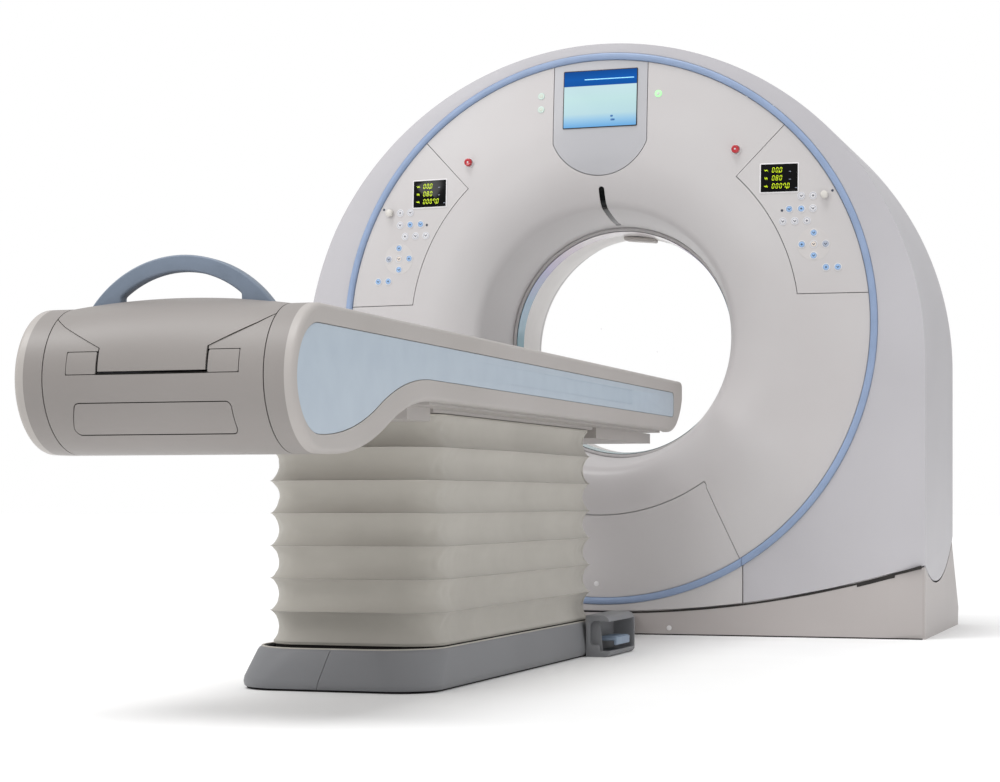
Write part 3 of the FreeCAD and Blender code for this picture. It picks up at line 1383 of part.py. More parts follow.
def end_cover():
    """Foot end of the tabletop: the drum's upper shell with its trapezoid front."""
    shell = END_DRUM.cut(crowned_drum(WALL)).common(prism_y(table_channel(0), -3800, -3400))
    tie = block((-90, -3560, 816), (90, -3500, TOP + 30)).common(END_DRUM)
    return shell.fuse(tie)


def handle():
    """Arched handle on the end cover."""
    half = size("handle_half")
    top = size("handle_top")
    thick = size("handle_thick")
    inner_half = half - 74
    inner_top = top - 34
    foot = TOP
    pieces = [[(-half, foot), (-half * 0.62, foot + (top - foot) * 0.66), (0.0, top)],
              [(0.0, top), (half * 0.62, foot + (top - foot) * 0.66), (half, foot)],
              [(half, foot), (inner_half, foot)],
              [(inner_half, foot), (inner_half, foot + 22)],
              [(inner_half, foot + 22), (0.0, inner_top), (-inner_half, foot + 22)],
              [(-inner_half, foot + 22), (-inner_half, foot)],
              [(-inner_half, foot), (-half, foot)]]
    middle = size("handle_y")
    arch = prism_y(loop(pieces, in_xz), middle - thick / 2, middle + thick / 2)
    return arch.cut(END_DRUM)


feature("tabletop_cradle", cradle())
feature("tabletop_carriage", carriage())
feature("tabletop_end_cover", end_cover())
feature("tabletop_handle", handle())


# ---------------------------------------------------------------------------------------------
# Check and write
# ---------------------------------------------------------------------------------------------

doc.recompute()
faults = [o.Name for o in doc.Objects if "Invalid" in o.State or "Error" in o.State]
for label, obj in NODES.items():
    shape = obj.Shape
    if shape.isNull() or not shape.isValid() or not shape.Solids:
        faults.append(label)
if faults:
    raise RuntimeError("these pieces failed: " + ", ".join(faults))

os.makedirs("parts", exist_ok=True)
for label, obj in NODES.items():
    obj.Shape.exportStep(f"parts/{label}.step")
    box = obj.Shape.optimalBoundingBox(False)
    print(f"{label:24s} {len(obj.Shape.Solids):3d} solids {obj.Shape.Volume / 1e6:9.2f} l  "
          f"x {box.XMin:7.0f} {box.XMax:7.0f}  y {box.YMin:7.0f} {box.YMax:7.0f}  "
          f"z {box.ZMin:6.0f} {box.ZMax:6.0f}")
print(len(NODES), "pieces")
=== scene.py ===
# %% [markdown]
# A computed tomography scanner: a ring gantry that tilts on its floor base, and the patient couch in
# front of it on a pleated bellows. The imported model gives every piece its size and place, in metres,
# with +X to the right of somebody at the couch's foot, +Y into the bore and +Z up. This lesson dresses
# it: moulded covers with true curves, the parting lines between them, the cloth bellows, the controls,
# and a finish for each thing that is seen. Everything below is written in millimetres and scaled once,
# where a mesh is made, because the covers were drawn in millimetres too.
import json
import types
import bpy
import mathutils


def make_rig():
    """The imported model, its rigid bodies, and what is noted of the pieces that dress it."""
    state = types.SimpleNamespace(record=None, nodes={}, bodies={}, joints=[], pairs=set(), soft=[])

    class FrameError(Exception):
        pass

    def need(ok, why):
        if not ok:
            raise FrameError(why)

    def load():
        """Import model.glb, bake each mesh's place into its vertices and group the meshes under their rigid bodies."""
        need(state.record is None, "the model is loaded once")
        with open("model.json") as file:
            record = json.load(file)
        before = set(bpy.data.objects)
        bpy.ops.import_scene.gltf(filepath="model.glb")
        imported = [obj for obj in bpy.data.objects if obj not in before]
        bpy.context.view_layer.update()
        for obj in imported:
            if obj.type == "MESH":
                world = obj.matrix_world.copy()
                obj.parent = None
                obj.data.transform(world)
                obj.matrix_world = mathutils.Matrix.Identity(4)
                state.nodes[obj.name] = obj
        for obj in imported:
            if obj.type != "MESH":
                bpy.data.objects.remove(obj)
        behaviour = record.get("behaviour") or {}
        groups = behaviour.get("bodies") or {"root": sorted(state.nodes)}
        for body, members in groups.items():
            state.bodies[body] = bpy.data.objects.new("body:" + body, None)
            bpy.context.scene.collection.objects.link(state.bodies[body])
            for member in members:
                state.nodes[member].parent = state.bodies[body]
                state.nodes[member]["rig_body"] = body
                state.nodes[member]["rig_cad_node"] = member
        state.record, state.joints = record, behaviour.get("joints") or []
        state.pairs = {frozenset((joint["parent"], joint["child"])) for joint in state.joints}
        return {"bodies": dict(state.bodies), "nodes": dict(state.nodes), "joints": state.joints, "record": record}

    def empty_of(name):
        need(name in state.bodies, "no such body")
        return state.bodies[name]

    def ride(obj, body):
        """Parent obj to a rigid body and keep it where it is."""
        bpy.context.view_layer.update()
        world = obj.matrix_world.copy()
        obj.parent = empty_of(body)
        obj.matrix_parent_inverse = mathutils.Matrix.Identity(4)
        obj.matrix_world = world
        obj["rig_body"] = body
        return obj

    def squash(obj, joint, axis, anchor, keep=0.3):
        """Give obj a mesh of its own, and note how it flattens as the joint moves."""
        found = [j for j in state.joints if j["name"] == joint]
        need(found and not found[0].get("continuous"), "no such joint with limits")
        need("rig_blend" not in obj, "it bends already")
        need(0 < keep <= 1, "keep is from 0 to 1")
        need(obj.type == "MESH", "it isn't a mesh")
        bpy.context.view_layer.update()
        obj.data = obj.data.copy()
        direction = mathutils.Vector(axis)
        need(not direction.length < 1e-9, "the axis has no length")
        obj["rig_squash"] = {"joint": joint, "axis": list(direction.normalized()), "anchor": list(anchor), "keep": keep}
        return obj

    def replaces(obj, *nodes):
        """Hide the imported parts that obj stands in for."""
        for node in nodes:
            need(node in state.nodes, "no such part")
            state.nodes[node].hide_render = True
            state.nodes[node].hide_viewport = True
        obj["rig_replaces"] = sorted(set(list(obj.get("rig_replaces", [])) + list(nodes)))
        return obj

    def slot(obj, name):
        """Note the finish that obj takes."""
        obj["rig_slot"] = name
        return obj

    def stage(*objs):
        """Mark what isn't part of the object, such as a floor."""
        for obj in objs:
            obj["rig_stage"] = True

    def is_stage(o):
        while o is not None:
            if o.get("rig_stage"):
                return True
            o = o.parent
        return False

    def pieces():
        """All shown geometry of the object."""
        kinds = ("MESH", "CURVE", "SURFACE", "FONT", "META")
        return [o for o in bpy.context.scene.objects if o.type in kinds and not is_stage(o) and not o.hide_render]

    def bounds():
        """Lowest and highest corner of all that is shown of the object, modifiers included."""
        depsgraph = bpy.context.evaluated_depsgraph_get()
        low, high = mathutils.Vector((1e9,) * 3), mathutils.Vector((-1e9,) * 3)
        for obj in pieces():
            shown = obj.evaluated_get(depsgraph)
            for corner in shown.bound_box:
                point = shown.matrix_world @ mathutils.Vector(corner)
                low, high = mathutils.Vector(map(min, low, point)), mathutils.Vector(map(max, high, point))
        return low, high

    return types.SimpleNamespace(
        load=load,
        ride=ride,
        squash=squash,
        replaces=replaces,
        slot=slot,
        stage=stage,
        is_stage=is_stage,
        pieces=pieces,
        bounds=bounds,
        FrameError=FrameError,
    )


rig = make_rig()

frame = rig.load()

import json
import math

import bpy
import bmesh
from mathutils import Matrix, Vector

CAD_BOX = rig.bounds()
MM = 0.001
SIDES = ((1, "right"), (-1, "left"))
STUDIO = bpy.context.scene
print("packed size in metres:", [round(high - low, 3) for low, high in zip(*CAD_BOX)])

# %% [markdown]
# The camera comes first, because it says which details deserve work. It stands low and to the right of
# the couch's foot, level, with a long lens and a vertical shift, as an architect's camera does: the
# gantry's upright edges stay upright. The numbers were fitted to the round blue ring, whose centre and
# size are known, and to the straight edges of the couch.

# %% Camera
CAMERA_AT = (2.0228, -7.6819, 0.4571)
CAMERA_TURN = 18.0             # degrees to the left of straight into the bore
LENS, SENSOR = 79.63, 36       # mm
SHIFT = 0.110                  # upwards, as a share of the sensor's width
camera_data = bpy.data.cameras.new("camera")
camera_data.sensor_width = SENSOR
camera_data.lens = LENS
camera_data.shift_y = SHIFT
camera = bpy.data.objects.new("camera", camera_data)
camera.location = CAMERA_AT
camera.rotation_euler = (math.radians(90), 0, math.radians(CAMERA_TURN))
STUDIO.collection.objects.link(camera)
STUDIO.camera = camera

# %% [markdown]
# Most of this object is moulded shells, and a shell's drawing is lines joined by arcs that run into
# each other without a corner. Points could be typed in by hand, but then nobody could change a radius.
# So a path is walked: each step is a length, or an arc given as a radius and a turn. Other helpers
# lay an arc through three points, give a quarter circle for a corner, and move a path sideways for the
# other side of a wall.

# %% Drawing in a plane
def walk(start, heading, steps, finest=3.0):
    """Points along straight lengths and tangent (radius, turn in degrees) arcs."""
    x, y = start
    angle = math.radians(heading)
    points = [(x, y)]
    for step in steps:
        if not isinstance(step, tuple):
            x += step * math.cos(angle)
            y += step * math.sin(angle)
            points.append((x, y))
            continue
        radius, turn = step
        count = max(2, math.ceil(abs(turn) / finest))
        half = math.radians(turn) / count / 2
        chord = 2 * radius * math.sin(abs(half))
        for _ in range(count):
            angle += half
            x += chord * math.cos(angle)
            y += chord * math.sin(angle)
            angle += half
            points.append((x, y))
    return points


def bow(first, middle, last, count):
    """Points of the arc from first to last through middle, both ends included."""
    (ax, ay), (bx, by), (cx, cy) = first, middle, last
    spread = 2 * (ax * (by - cy) + bx * (cy - ay) + cx * (ay - by))
    a2, b2, c2 = ax * ax + ay * ay, bx * bx + by * by, cx * cx + cy * cy
    ox = (a2 * (by - cy) + b2 * (cy - ay) + c2 * (ay - by)) / spread
    oy = (a2 * (cx - bx) + b2 * (ax - cx) + c2 * (bx - ax)) / spread
    radius = math.hypot(ax - ox, ay - oy)
    begin, via, end = (math.atan2(y - oy, x - ox) for x, y in (first, middle, last))
    turn = (end - begin) % math.tau
    if (via - begin) % math.tau > turn:
        turn -= math.tau
    angles = [begin + turn * i / count for i in range(count + 1)]
    return [(ox + radius * math.cos(a), oy + radius * math.sin(a)) for a in angles]


def arc(x, y, radius, start, count):
    """Points of a quarter circle about a centre, from a start angle in degrees."""
    angles = [math.radians(start + 90 * i / count) for i in range(count + 1)]
    return [(x + radius * math.cos(a), y + radius * math.sin(a)) for a in angles]


def beside(points, distance):
    """The same open path moved to its left by a distance."""
    moved = []
    for i, (x, y) in enumerate(points):
        x1, y1 = points[max(i - 1, 0)]
        x2, y2 = points[min(i + 1, len(points) - 1)]
        length = math.hypot(x2 - x1, y2 - y1)
        moved.append((x - distance * (y2 - y1) / length, y + distance * (x2 - x1) / length))
    return moved


print("a quarter circle of 10 mm:", len(walk((0, 0), 0, [(10, 90)])), "points")

# %% [markdown]
# Four ways of making a solid cover nearly everything here: turning a profile about the bore, pushing an
# outline straight through, joining a stack of outlines like ribs of a hull, and adding or taking away
# another solid. The booleans use the exact solver, because the covers are thin and meet at a slant.
# Modifiers are settled at once into plain meshes: the next step then sees what is there.

# %% Making solids
def piece_of(name, points, faces):
    """A mesh object from points in millimetres, its faces turned outwards."""
    mesh = bpy.data.meshes.new(name)
    mesh.from_pydata([(x * MM, y * MM, z * MM) for x, y, z in points], [], faces)
    shape = bmesh.new()
    shape.from_mesh(mesh)
    bmesh.ops.recalc_face_normals(shape, faces=shape.faces)
    shape.to_mesh(mesh)
    shape.free()
    piece = bpy.data.objects.new(name, mesh)
    STUDIO.collection.objects.link(piece)
    return piece


def settle(piece):
    """Turn a piece's modifiers into its plain mesh."""
    graph = bpy.context.evaluated_depsgraph_get()
    mesh = bpy.data.meshes.new_from_object(piece.evaluated_get(graph))
    piece.modifiers.clear()
    piece.data = mesh
    return piece


def lathe(name, profile, sides=192):
    """Turn a closed profile of (radius, y, axis height) about an axis along Y."""
    spin = [math.tau * i / sides for i in range(sides)]
    points = [(r * math.sin(a), y, height + r * math.cos(a)) for r, y, height in profile for a in spin]
    rows = len(profile)
    faces = [(i * sides + j, i * sides + (j + 1) % sides,
              (i + 1) % rows * sides + (j + 1) % sides, (i + 1) % rows * sides + j)
             for i in range(rows) for j in range(sides)]
    return piece_of(name, points, faces)


def slab(name, outline, start, end, axis):
    """Push an outline straight along an axis; the outline's pair is the other two axes, in order."""
    at = "xyz".index(axis)
    return hull(name, [[(*pair[:at], t, *pair[at:]) for pair in outline] for t in (start, end)])


def hull(name, outlines):
    """Skin a stack of outlines that have equally many points, with a face at either end."""
    count = len(outlines[0])
    points = [point for outline in outlines for point in outline]
    faces = [tuple(range(count)), tuple(range(len(points) - count, len(points)))]
    for row in range(0, len(points) - count, count):
        faces += [(row + i, row + (i + 1) % count, row + count + (i + 1) % count, row + count + i)
                  for i in range(count)]
    return piece_of(name, points, faces)


def box(name, low, high):
    """A plain block, for cutting with or for rounding over afterwards."""
    return slab(name, [(low[0], low[1]), (high[0], low[1]), (high[0], high[1]), (low[0], high[1])],
                low[2], high[2], "z")


def twin(piece, name):
    """A separate copy, mesh included."""
    copy = bpy.data.objects.new(name, piece.data.copy())
    STUDIO.collection.objects.link(copy)
    return copy


def carve(piece, how, *tools):
    """Boolean with each tool in turn, then throw the tools away."""
    for tool in tools:
        step = piece.modifiers.new("carve", "BOOLEAN")
        step.operation = how
        step.solver = "EXACT"
        step.object = tool
    settle(piece)
    for tool in tools:
        bpy.data.objects.remove(tool)
    return piece


def rounded(piece, radius, segments=4, angle=40):
    """Round every edge sharper than an angle."""
    step = piece.modifiers.new("rounded", "BEVEL")
    step.width = radius * MM
    step.segments = segments
    step.limit_method = "ANGLE"
    step.angle_limit = math.radians(angle)
    return settle(piece)


def flip(piece):
    """Turn a piece into its mirror image across the couch's and gantry's middle plane."""
    piece.data.transform(Matrix.Scale(-1, 4, Vector((1, 0, 0))))
    piece.data.flip_normals()
    return piece


def mirrored(piece, name):
    """The same piece on the other side of the middle plane."""
    return flip(twin(piece, name))


def joined(name, pieces):
    """Several solids as one object."""
    whole = bmesh.new()
    for piece in pieces:
        whole.from_mesh(piece.data)
    mesh = bpy.data.meshes.new(name)
    whole.to_mesh(mesh)
    whole.free()
    for piece in pieces:
        bpy.data.objects.remove(piece)
    both = bpy.data.objects.new(name, mesh)
    STUDIO.collection.objects.link(both)
    return both


trial = rounded(box("trial", (0, 0, 0), (40, 30, 20)), 4)
print("a rounded block has", len(trial.data.polygons), "faces")
bpy.data.objects.remove(trial)

# %% [markdown]
# Colours are read off as sRGB hex values, but a renderer adds light, so they are turned to linear
# numbers first, always by the same function. Every tree is built with one small node-adding helper: it
# takes the node's kind and its inputs, each a plain value or the socket that feeds it. The few chains
# that nearly all finishes share, such as noise, a range, a colour ramp and a bump, follow from it.

# %% Colours and nodes
def linear(code):
    """An sRGB hex colour as linear red, green, blue and full cover."""
    parts = [int(code[i:i + 2], 16) / 255 for i in (1, 3, 5)]
    return tuple(p / 12.92 if p <= 0.04045 else ((p + 0.055) / 1.055) ** 2.4 for p in parts) + (1.0,)


def add(tree, kind, *places, settings=None, **names):
    """One node in a tree; its inputs go by place or by name, with _ for a space."""
    node = tree.nodes.new(kind)
    for key, value in (settings or {}).items():
        setattr(node, key, value)
    named = [(key.replace("_", " "), value) for key, value in names.items()]
    for key, value in [*enumerate(places), *named]:
        if isinstance(value, bpy.types.NodeSocket):
            tree.links.new(value, node.inputs[key])
        else:
            node.inputs[key].default_value = value
    return node


def calc(tree, how, *values):
    """One sum of numbers and sockets."""
    return add(tree, "ShaderNodeMath", *values, settings={"operation": how}).outputs[0]


def vector_calc(tree, how, *values, **names):
    """The outputs of one sum of vectors."""
    return add(tree, "ShaderNodeVectorMath", *values, settings={"operation": how}, **names).outputs


def noise(tree, where, scale, detail=2.0, **more):
    """Cloudy noise, so many clouds to the metre."""
    return add(tree, "ShaderNodeTexNoise", Vector=where, Scale=scale, Detail=detail, **more).outputs["Fac"]


def ranged(tree, value, low, high, start=0.0, end=1.0):
    """A value between start and end, drawn out to lie between low and high."""
    return add(tree, "ShaderNodeMapRange", Value=value, From_Min=start, From_Max=end,
               To_Min=low, To_Max=high).outputs["Result"]


def tint(tree, value, *stops):
    """The colour that belongs to a value, between (position, hex colour) stops."""
    node = add(tree, "ShaderNodeValToRGB", value)
    marks = node.color_ramp.elements
    while len(marks) < len(stops):
        marks.new(0.5)
    for mark, (where, code) in zip(marks, stops):
        mark.position = where
        mark.color = linear(code)
    return node.outputs["Color"]


def bump(tree, height, strength, distance):
    """Normals that follow a height, distance metres deep."""
    return add(tree, "ShaderNodeBump", Strength=strength, Distance=distance,
               Height=height).outputs["Normal"]


def spot(tree):
    """Where a point lies on its own object, in metres."""
    return add(tree, "ShaderNodeTexCoord").outputs["Object"]


def finish(name, **sockets):
    """A new material: gives it, its tree and its shader, whose own sockets hold the plain values."""
    material = bpy.data.materials.new(name)
    material.use_nodes = True
    shader = material.node_tree.nodes["Principled BSDF"]
    for key, value in sockets.items():
        shader.inputs[key.replace("_", " ")].default_value = value
    return material, material.node_tree, shader


def feed(tree, shader, **sockets):
    """Lead what a tree works out into the shader."""
    for key, source in sockets.items():
        tree.links.new(source, shader.inputs[key.replace("_", " ")])


print("mid grey #808080 is", round(linear("#808080")[0], 3), "in linear light")

# %% [markdown]
# The big covers are polyurethane shells, moulded in a closed tool and then sprayed with a two-part satin
# paint. Spray paint tells the eye three things: a soft, broad highlight; a faint orange peel, which
# makes that highlight tremble; and a colour that drifts a very little, because the film is thicker in
# some places. A real orange peel has waves of 1 to 2 mm, too fine for a picture of a four metre
# machine, so it is drawn at 9 mm. The same paint in other tints covers the couch and the base.

# %% Sprayed satin paint
PEEL = 9.0                     # mm, drawn about six times too coarse so that it shows at all


def satin_paint(name, light, deep, roughness=0.38, peel=0.05):
    """Two tints of one sprayed colour, with orange peel and a slow drift between the tints."""
    material, tree, shader = finish(name, IOR=1.48)
    drift = noise(tree, spot(tree), 1.6)
    feed(tree, shader, Base_Color=tint(tree, drift, (0.35, deep), (0.65, light)),
         Roughness=ranged(tree, drift, roughness - 0.05, roughness + 0.06),
         Normal=bump(tree, noise(tree, spot(tree), 1000 / PEEL, 1.0), peel, 0.001))
    return material


panel_paint = satin_paint("sprayed_panel_cool_grey", "#bcbbbf", "#b6b6ba", 0.3)
cover_paint = satin_paint("sprayed_cover_warm_grey", "#cbc8c8", "#c5c1c1")
shroud_paint = satin_paint("sprayed_shroud_grey", "#c0bec2", "#bab8bc")
base_paint = satin_paint("sprayed_base_grey", "#b9b3b1", "#b2acaa", 0.42)
couch_paint = satin_paint("sprayed_couch_beige", "#b3aeab", "#aca7a3", 0.42)
# the drum's own grey; on the foot caps, which are beige like the side covers, it is painted shade
drum_grey_and_cap_shade = satin_paint("sprayed_drum_grey_and_cap_shade", "#938e8b", "#8b8683", 0.45, 0.07)
plinth_paint = satin_paint("sprayed_plinth_grey", "#838487", "#7b7c7f", 0.48, 0.08)
print("paints:", cover_paint.name, shroud_paint.name, couch_paint.name)

# %% [markdown]
# The smaller parts are other stuff altogether. The blue bead is an extruded rubbery profile, coloured
# right through. Keys are a printed polyester membrane. The laser window is smoked acrylic, the window
# round the bore a thin polyester film whose iridescent reflection is painted into its colour, the screen
# a lit panel under glass. Each gets the one or two things that give it away at a glance, and no more.

# %% Moulded and extruded plastics
def moulded(name, light, deep, roughness, grain=2.5, depth=0.1, **sockets):
    """A self-coloured plastic with the fine spark-eroded grain of its tool."""
    material, tree, shader = finish(name, IOR=1.5, Roughness=roughness, **sockets)
    cells = add(tree, "ShaderNodeTexVoronoi", Vector=spot(tree), Scale=1000 / grain).outputs["Distance"]
    feed(tree, shader, Base_Color=tint(tree, noise(tree, spot(tree), 14.0, 3.0), (0.3, deep), (0.7, light)),
         Normal=bump(tree, cells, depth, 0.0004))
    return material


bead_blue = moulded("extruded_bead_steel_blue", "#93a6c6", "#8b9ebd", 0.36, 3.0, 0.05)
inlay_film = moulded("laminate_inlay_pale_blue", "#b4c1cd", "#afbcc9", 0.42, 4.0, 0.04)
handle_plastic = moulded("moulded_handle_slate_blue", "#768293", "#6f7b8b", 0.4, 2.5, 0.1)
# the liner's grey, painted paler for the light that comes through the bore from behind
liner_painted_backlight = moulded("thermoformed_liner_painted_backlight", "#ebe8e6", "#e5e2e0", 0.45, 3.0, 0.05)
pod_plastic = moulded("moulded_pod_grey", "#bcb6b2", "#b3ada9", 0.45)
knob_plastic = moulded("moulded_knob_ivory", "#dcd9d3", "#d3cfc9", 0.3, 2.5, 0.03)
frame_plastic = moulded("moulded_display_rim_white", "#e9e7e8", "#e2e0e1", 0.35)
key_white = moulded("membrane_key_white", "#dfdee1", "#d6d5d9", 0.4, 2.0, 0.03)
key_blue = moulded("membrane_key_pale_blue", "#9cbfe8", "#93b6e0", 0.4, 2.0, 0.03)
key_cream = moulded("membrane_key_cream", "#e6dcd3", "#dfd4cb", 0.4, 2.0, 0.03)
key_grey = moulded("membrane_key_grey", "#b5bccb", "#abb3c3", 0.4, 2.0, 0.03)
ink_dark = moulded("screen_print_dark", "#3a4150", "#333a49", 0.5, 2.0, 0.02)
key_slate = moulded("membrane_key_slate", "#8b96a8", "#838ea0", 0.45, 2.0, 0.02)
button_red = moulded("polycarbonate_stop_red", "#c32a34", "#b3222d", 0.22, 2.5, 0.03, Coat_Weight=0.4)
pedal_rubber = moulded("rubber_pedal_blue_grey", "#93a3b6", "#8797ab", 0.6, 1.6, 0.3)
# dark rubber for real seals, borders and the laser window's cross line; also used for dark sheets that paint the shade
# in gaps and recesses and the shadow along the floor
dark_rubber_and_shade = moulded("rubber_dark_and_painted_shade", "#2b2826", "#242120", 0.75, 1.6, 0.2)
print("plastics:", len([m for m in bpy.data.materials if "moulded" in m.name or "membrane" in m.name]))

# %% [markdown]
# Smoked acrylic and the black glass of the displays are nearly all reflection: very dark, very smooth.
# They still get a trace of haze in their roughness, since wiped plastic is never perfectly clean, and
# that is what stops them looking like holes.

# %% Dark glass and smoked acrylic
def dark_gloss(name, code, haze, index):
    """A dark clear sheet over black, with the haze that wiping leaves."""
    material, tree, shader = finish(name, Base_Color=linear(code), IOR=index)
    wiped = add(tree, "ShaderNodeMapping", Vector=spot(tree), Scale=(6.0, 6.0, 40.0)).outputs["Vector"]
    feed(tree, shader, Roughness=ranged(tree, noise(tree, wiped, 3.0, 3.0), 0.06, haze))
    return material


smoked_acrylic = dark_gloss("acrylic_smoked", "#121113", 0.3, 1.4)
black_glass = dark_gloss("glass_black_coated", "#050607", 0.16, 1.25)

# %% [markdown]
# Cleaned steel and aluminium inside the machine show how they were cut: faint rings where a face was
# turned, straight scratches where a bar was drawn. Painted steelwork has the pebbled skin of powder
# coat. The carbon laminate of the tabletop shows its weave: tows of about 4 mm that cross over and
# under, drawn with two waves that cross and are then squared off.

# %% Metals, powder coat and carbon
def bare_metal(name, code, roughness, stretch):
    """Machined metal: streaks stretched along the cut, in colourless steel or aluminium."""
    material, tree, shader = finish(name, Metallic=1.0, Base_Color=linear(code))
    along = add(tree, "ShaderNodeMapping", Vector=spot(tree), Scale=stretch).outputs["Vector"]
    lines = noise(tree, along, 60.0, 4.0)
    feed(tree, shader, Roughness=ranged(tree, lines, roughness - 0.08, roughness + 0.1),
         Normal=bump(tree, lines, 0.08, 0.0005))
    return material


def powder_coat(name, light, deep):
    """Baked powder on steel: a pebbled skin with pebbles of about 2 mm."""
    return moulded(name, light, deep, 0.5, 2.0, 0.35)


def threads(tree, where, wave):
    """Waves along X and along Y, each so many mm long."""
    split = add(tree, "ShaderNodeSeparateXYZ", where).outputs
    return [calc(tree, "SINE", calc(tree, "MULTIPLY", split[axis], math.tau * 1000 / wave))
            for axis in "XY"]


def carbon_weave(name, tow=4.0):
    """Black laminate whose tows cross at right angles, each a little glossier where it lies on top."""
    material, tree, shader = finish(name, Coat_Weight=0.35, Coat_Roughness=0.2)
    cross = calc(tree, "MULTIPLY", *threads(tree, spot(tree), 2 * tow))
    over = ranged(tree, cross, 0.0, 1.0, -0.3, 0.3)
    feed(tree, shader, Base_Color=tint(tree, over, (0.0, "#26282b"), (1.0, "#3a3c40")),
         Roughness=ranged(tree, over, 0.35, 0.5))
    return material


turned_steel = bare_metal("steel_ground", "#b9babd", 0.3, (1.0, 12.0, 1.0))
milled_aluminium = bare_metal("aluminium_milled", "#c9cbce", 0.38, (1.0, 10.0, 1.0))
frame_powder = powder_coat("powder_coat_frame_grey", "#9ea0a4", "#96989c")
dark_powder = powder_coat("powder_coat_dark_grey", "#5b6068", "#53585f")
carbon = carbon_weave("carbon_laminate_twill")

# %% [markdown]
# The bellows is polyester cloth coated with polyurethane. The coating hides most of the weave and leaves
# a dry, slightly chalky face that goes paler at a glancing angle, which is what sheen does. The weave
# itself has about 0.5 mm between threads; here it is drawn at 3 mm. The cloth carries its own
# coordinates round the bellows and up it, so that the threads stay level on every side.

# %% Coated cloth
THREAD = 3.0                   # mm, six times the real spacing


def coated_cloth(name, light, deep):
    """Coated polyester: threads under the coat, slow stains and sheen."""
    material, tree, shader = finish(name, Roughness=0.78, Sheen_Weight=0.25, Sheen_Roughness=0.5)
    lie = add(tree, "ShaderNodeAttribute", settings={"attribute_name": "cloth"}).outputs["Vector"]
    feed(tree, shader, Base_Color=tint(tree, noise(tree, lie, 5.0, 4.0), (0.3, deep), (0.7, light)),
         Normal=bump(tree, calc(tree, "ADD", *threads(tree, lie, THREAD)), 0.12, 0.0003))
    return material


bellows_cloth = coated_cloth("polyester_coated_greige", "#b9b5ad", "#b0aca4")
hem_cloth = moulded("welded_hem_greige", "#bdb9b0", "#b5b1a8", 0.6)
print("materials so far:", len(bpy.data.materials))

# %% [markdown]
# One helper ends every piece. It gives the mesh its material and smooth shading with hard edges where
# two faces really meet at a corner, says which moving body carries it, which finish in the record it
# shows and which plain solid it stands for, and prints what came out.

# %% Handing a piece over
def hand_over(piece, material, body, slot, *nodes, crease=32):
    """Shade, paint and seat a finished piece."""
    if material is not None:
        piece.data.materials.clear()
        piece.data.materials.append(material)
    piece.data.shade_smooth()
    piece.data.set_sharp_from_angle(angle=math.radians(crease))
    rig.ride(piece, body)
    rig.slot(piece, slot)
    if nodes:
        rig.replaces(piece, *nodes)
    low, high = ([round(pick(v.co[i] for v in piece.data.vertices), 3) for i in range(3)]
                 for pick in (min, max))
    print(f"{piece.name:26s} {len(piece.data.polygons):6d} faces  {low} to {high}")
    return piece

# %% [markdown]
# The front of the gantry is one big moulding: a shallow cone outside, a flat ring, then a flare that
# rolls into the bore and ends at a thin lip. It could be modelled with subdivision from a few loops, but
# its real drawing is a profile turned about the bore, so that is what is done. The outer part is round
# about the blue ring's centre and the flare about the scan centre 28 mm lower; each point of the
# profile therefore carries the height of its own centre, and the flat ring between takes up the
# difference. The wall is the same profile moved inwards by 5 mm.

# %% The front moulding's profile
TILT_Z = 1022.0                # height of the tilt axis, which is the bore's own axis
RING_Z = 1050.0                # height of the blue ring's centre
FRONT, REAR = -330.0, 473.0    # where the covers begin and end along the bore
WALL, SEAM = 5.0, 2.4          # thickness of a cover and the gap between two
RIM = 923.5                    # radius at which the front moulding ends
DOME = -350.0                  # how far forward its flat ring stands
CONE_SLOPE = 20 / 224
FLARE_START = 628.0            # radius at which the flat ring turns into the flare
FLARE = [(300, -30), (70, -43), (802.4, -17)]


def dome_y(radius):
    """Depth of the cone and the flat ring it blends into, at a radius about the blue ring's centre."""
    past = radius - 700
    return DOME + CONE_SLOPE * (math.sqrt(past * past + 40 * 40) + past) / 2


def front_profile():
    """Closed profile of the moulding: outer face from rim to lip, then the back of the wall."""
    plate = [(RIM - step * (RIM - 668) / 12, RING_Z) for step in range(13)]
    outer = [(radius, dome_y(radius), height) for radius, height in plate]
    throat = walk((FLARE_START, DOME), 180, FLARE, finest=2.5)
    outer += [(radius, y, TILT_Z) for radius, y in throat]
    lip = [(411, -34), (409, -34), (408.5, -37.6), (407.6, -38), (400, -38), (399, -37), (399, -34.5),
           (416, -29)]
    back = [(radius, y, TILT_Z) for radius, y in beside(throat, -WALL)][::-1]
    back += [(radius, dome_y(radius) + WALL, height) for radius, height in plate[::-1]]
    return outer + [(radius, y, TILT_Z) for radius, y in lip] + back[1:]


front_skin = lathe("front_skin", front_profile())
print("front moulding:", len(front_skin.data.polygons), "faces, bore lip radius 399 mm")

# %% [markdown]
# Four covers are cut from that one surface, so that their faces run on across the seams without a step:
# the U-shaped screen surround, two operation panels that are pieces of a ring, and the lower panel that
# comes off for service. Each is its own moulding, and a gap of SEAM is left between them. A gap cuts a
# dark line only if something dark is seen through it, which the inside of the gantry is.

# %% Outlines of the covers on the front
SHOULDER, CHIN, SURROUND_HALF = 1690.0, 1576.0, 168.0
PANEL_INNER, PANEL_LOW, PANEL_ANGLE = 690.0, 1148.0, 46.5
LOWER_SEAM = 640.0


def on_ring(radius, angle):
    """A point about the blue ring's centre."""
    return radius * math.cos(angle), RING_Z + radius * math.sin(angle)


def surround_outline(gap):
    """The screen surround: straight sides that end below in a wide bow."""
    half, top = SURROUND_HALF - gap, RING_Z + RIM + 30
    return [(-half, top)] + bow((-half, SHOULDER), (0, CHIN + gap), (half, SHOULDER), 48) + [(half, top)]


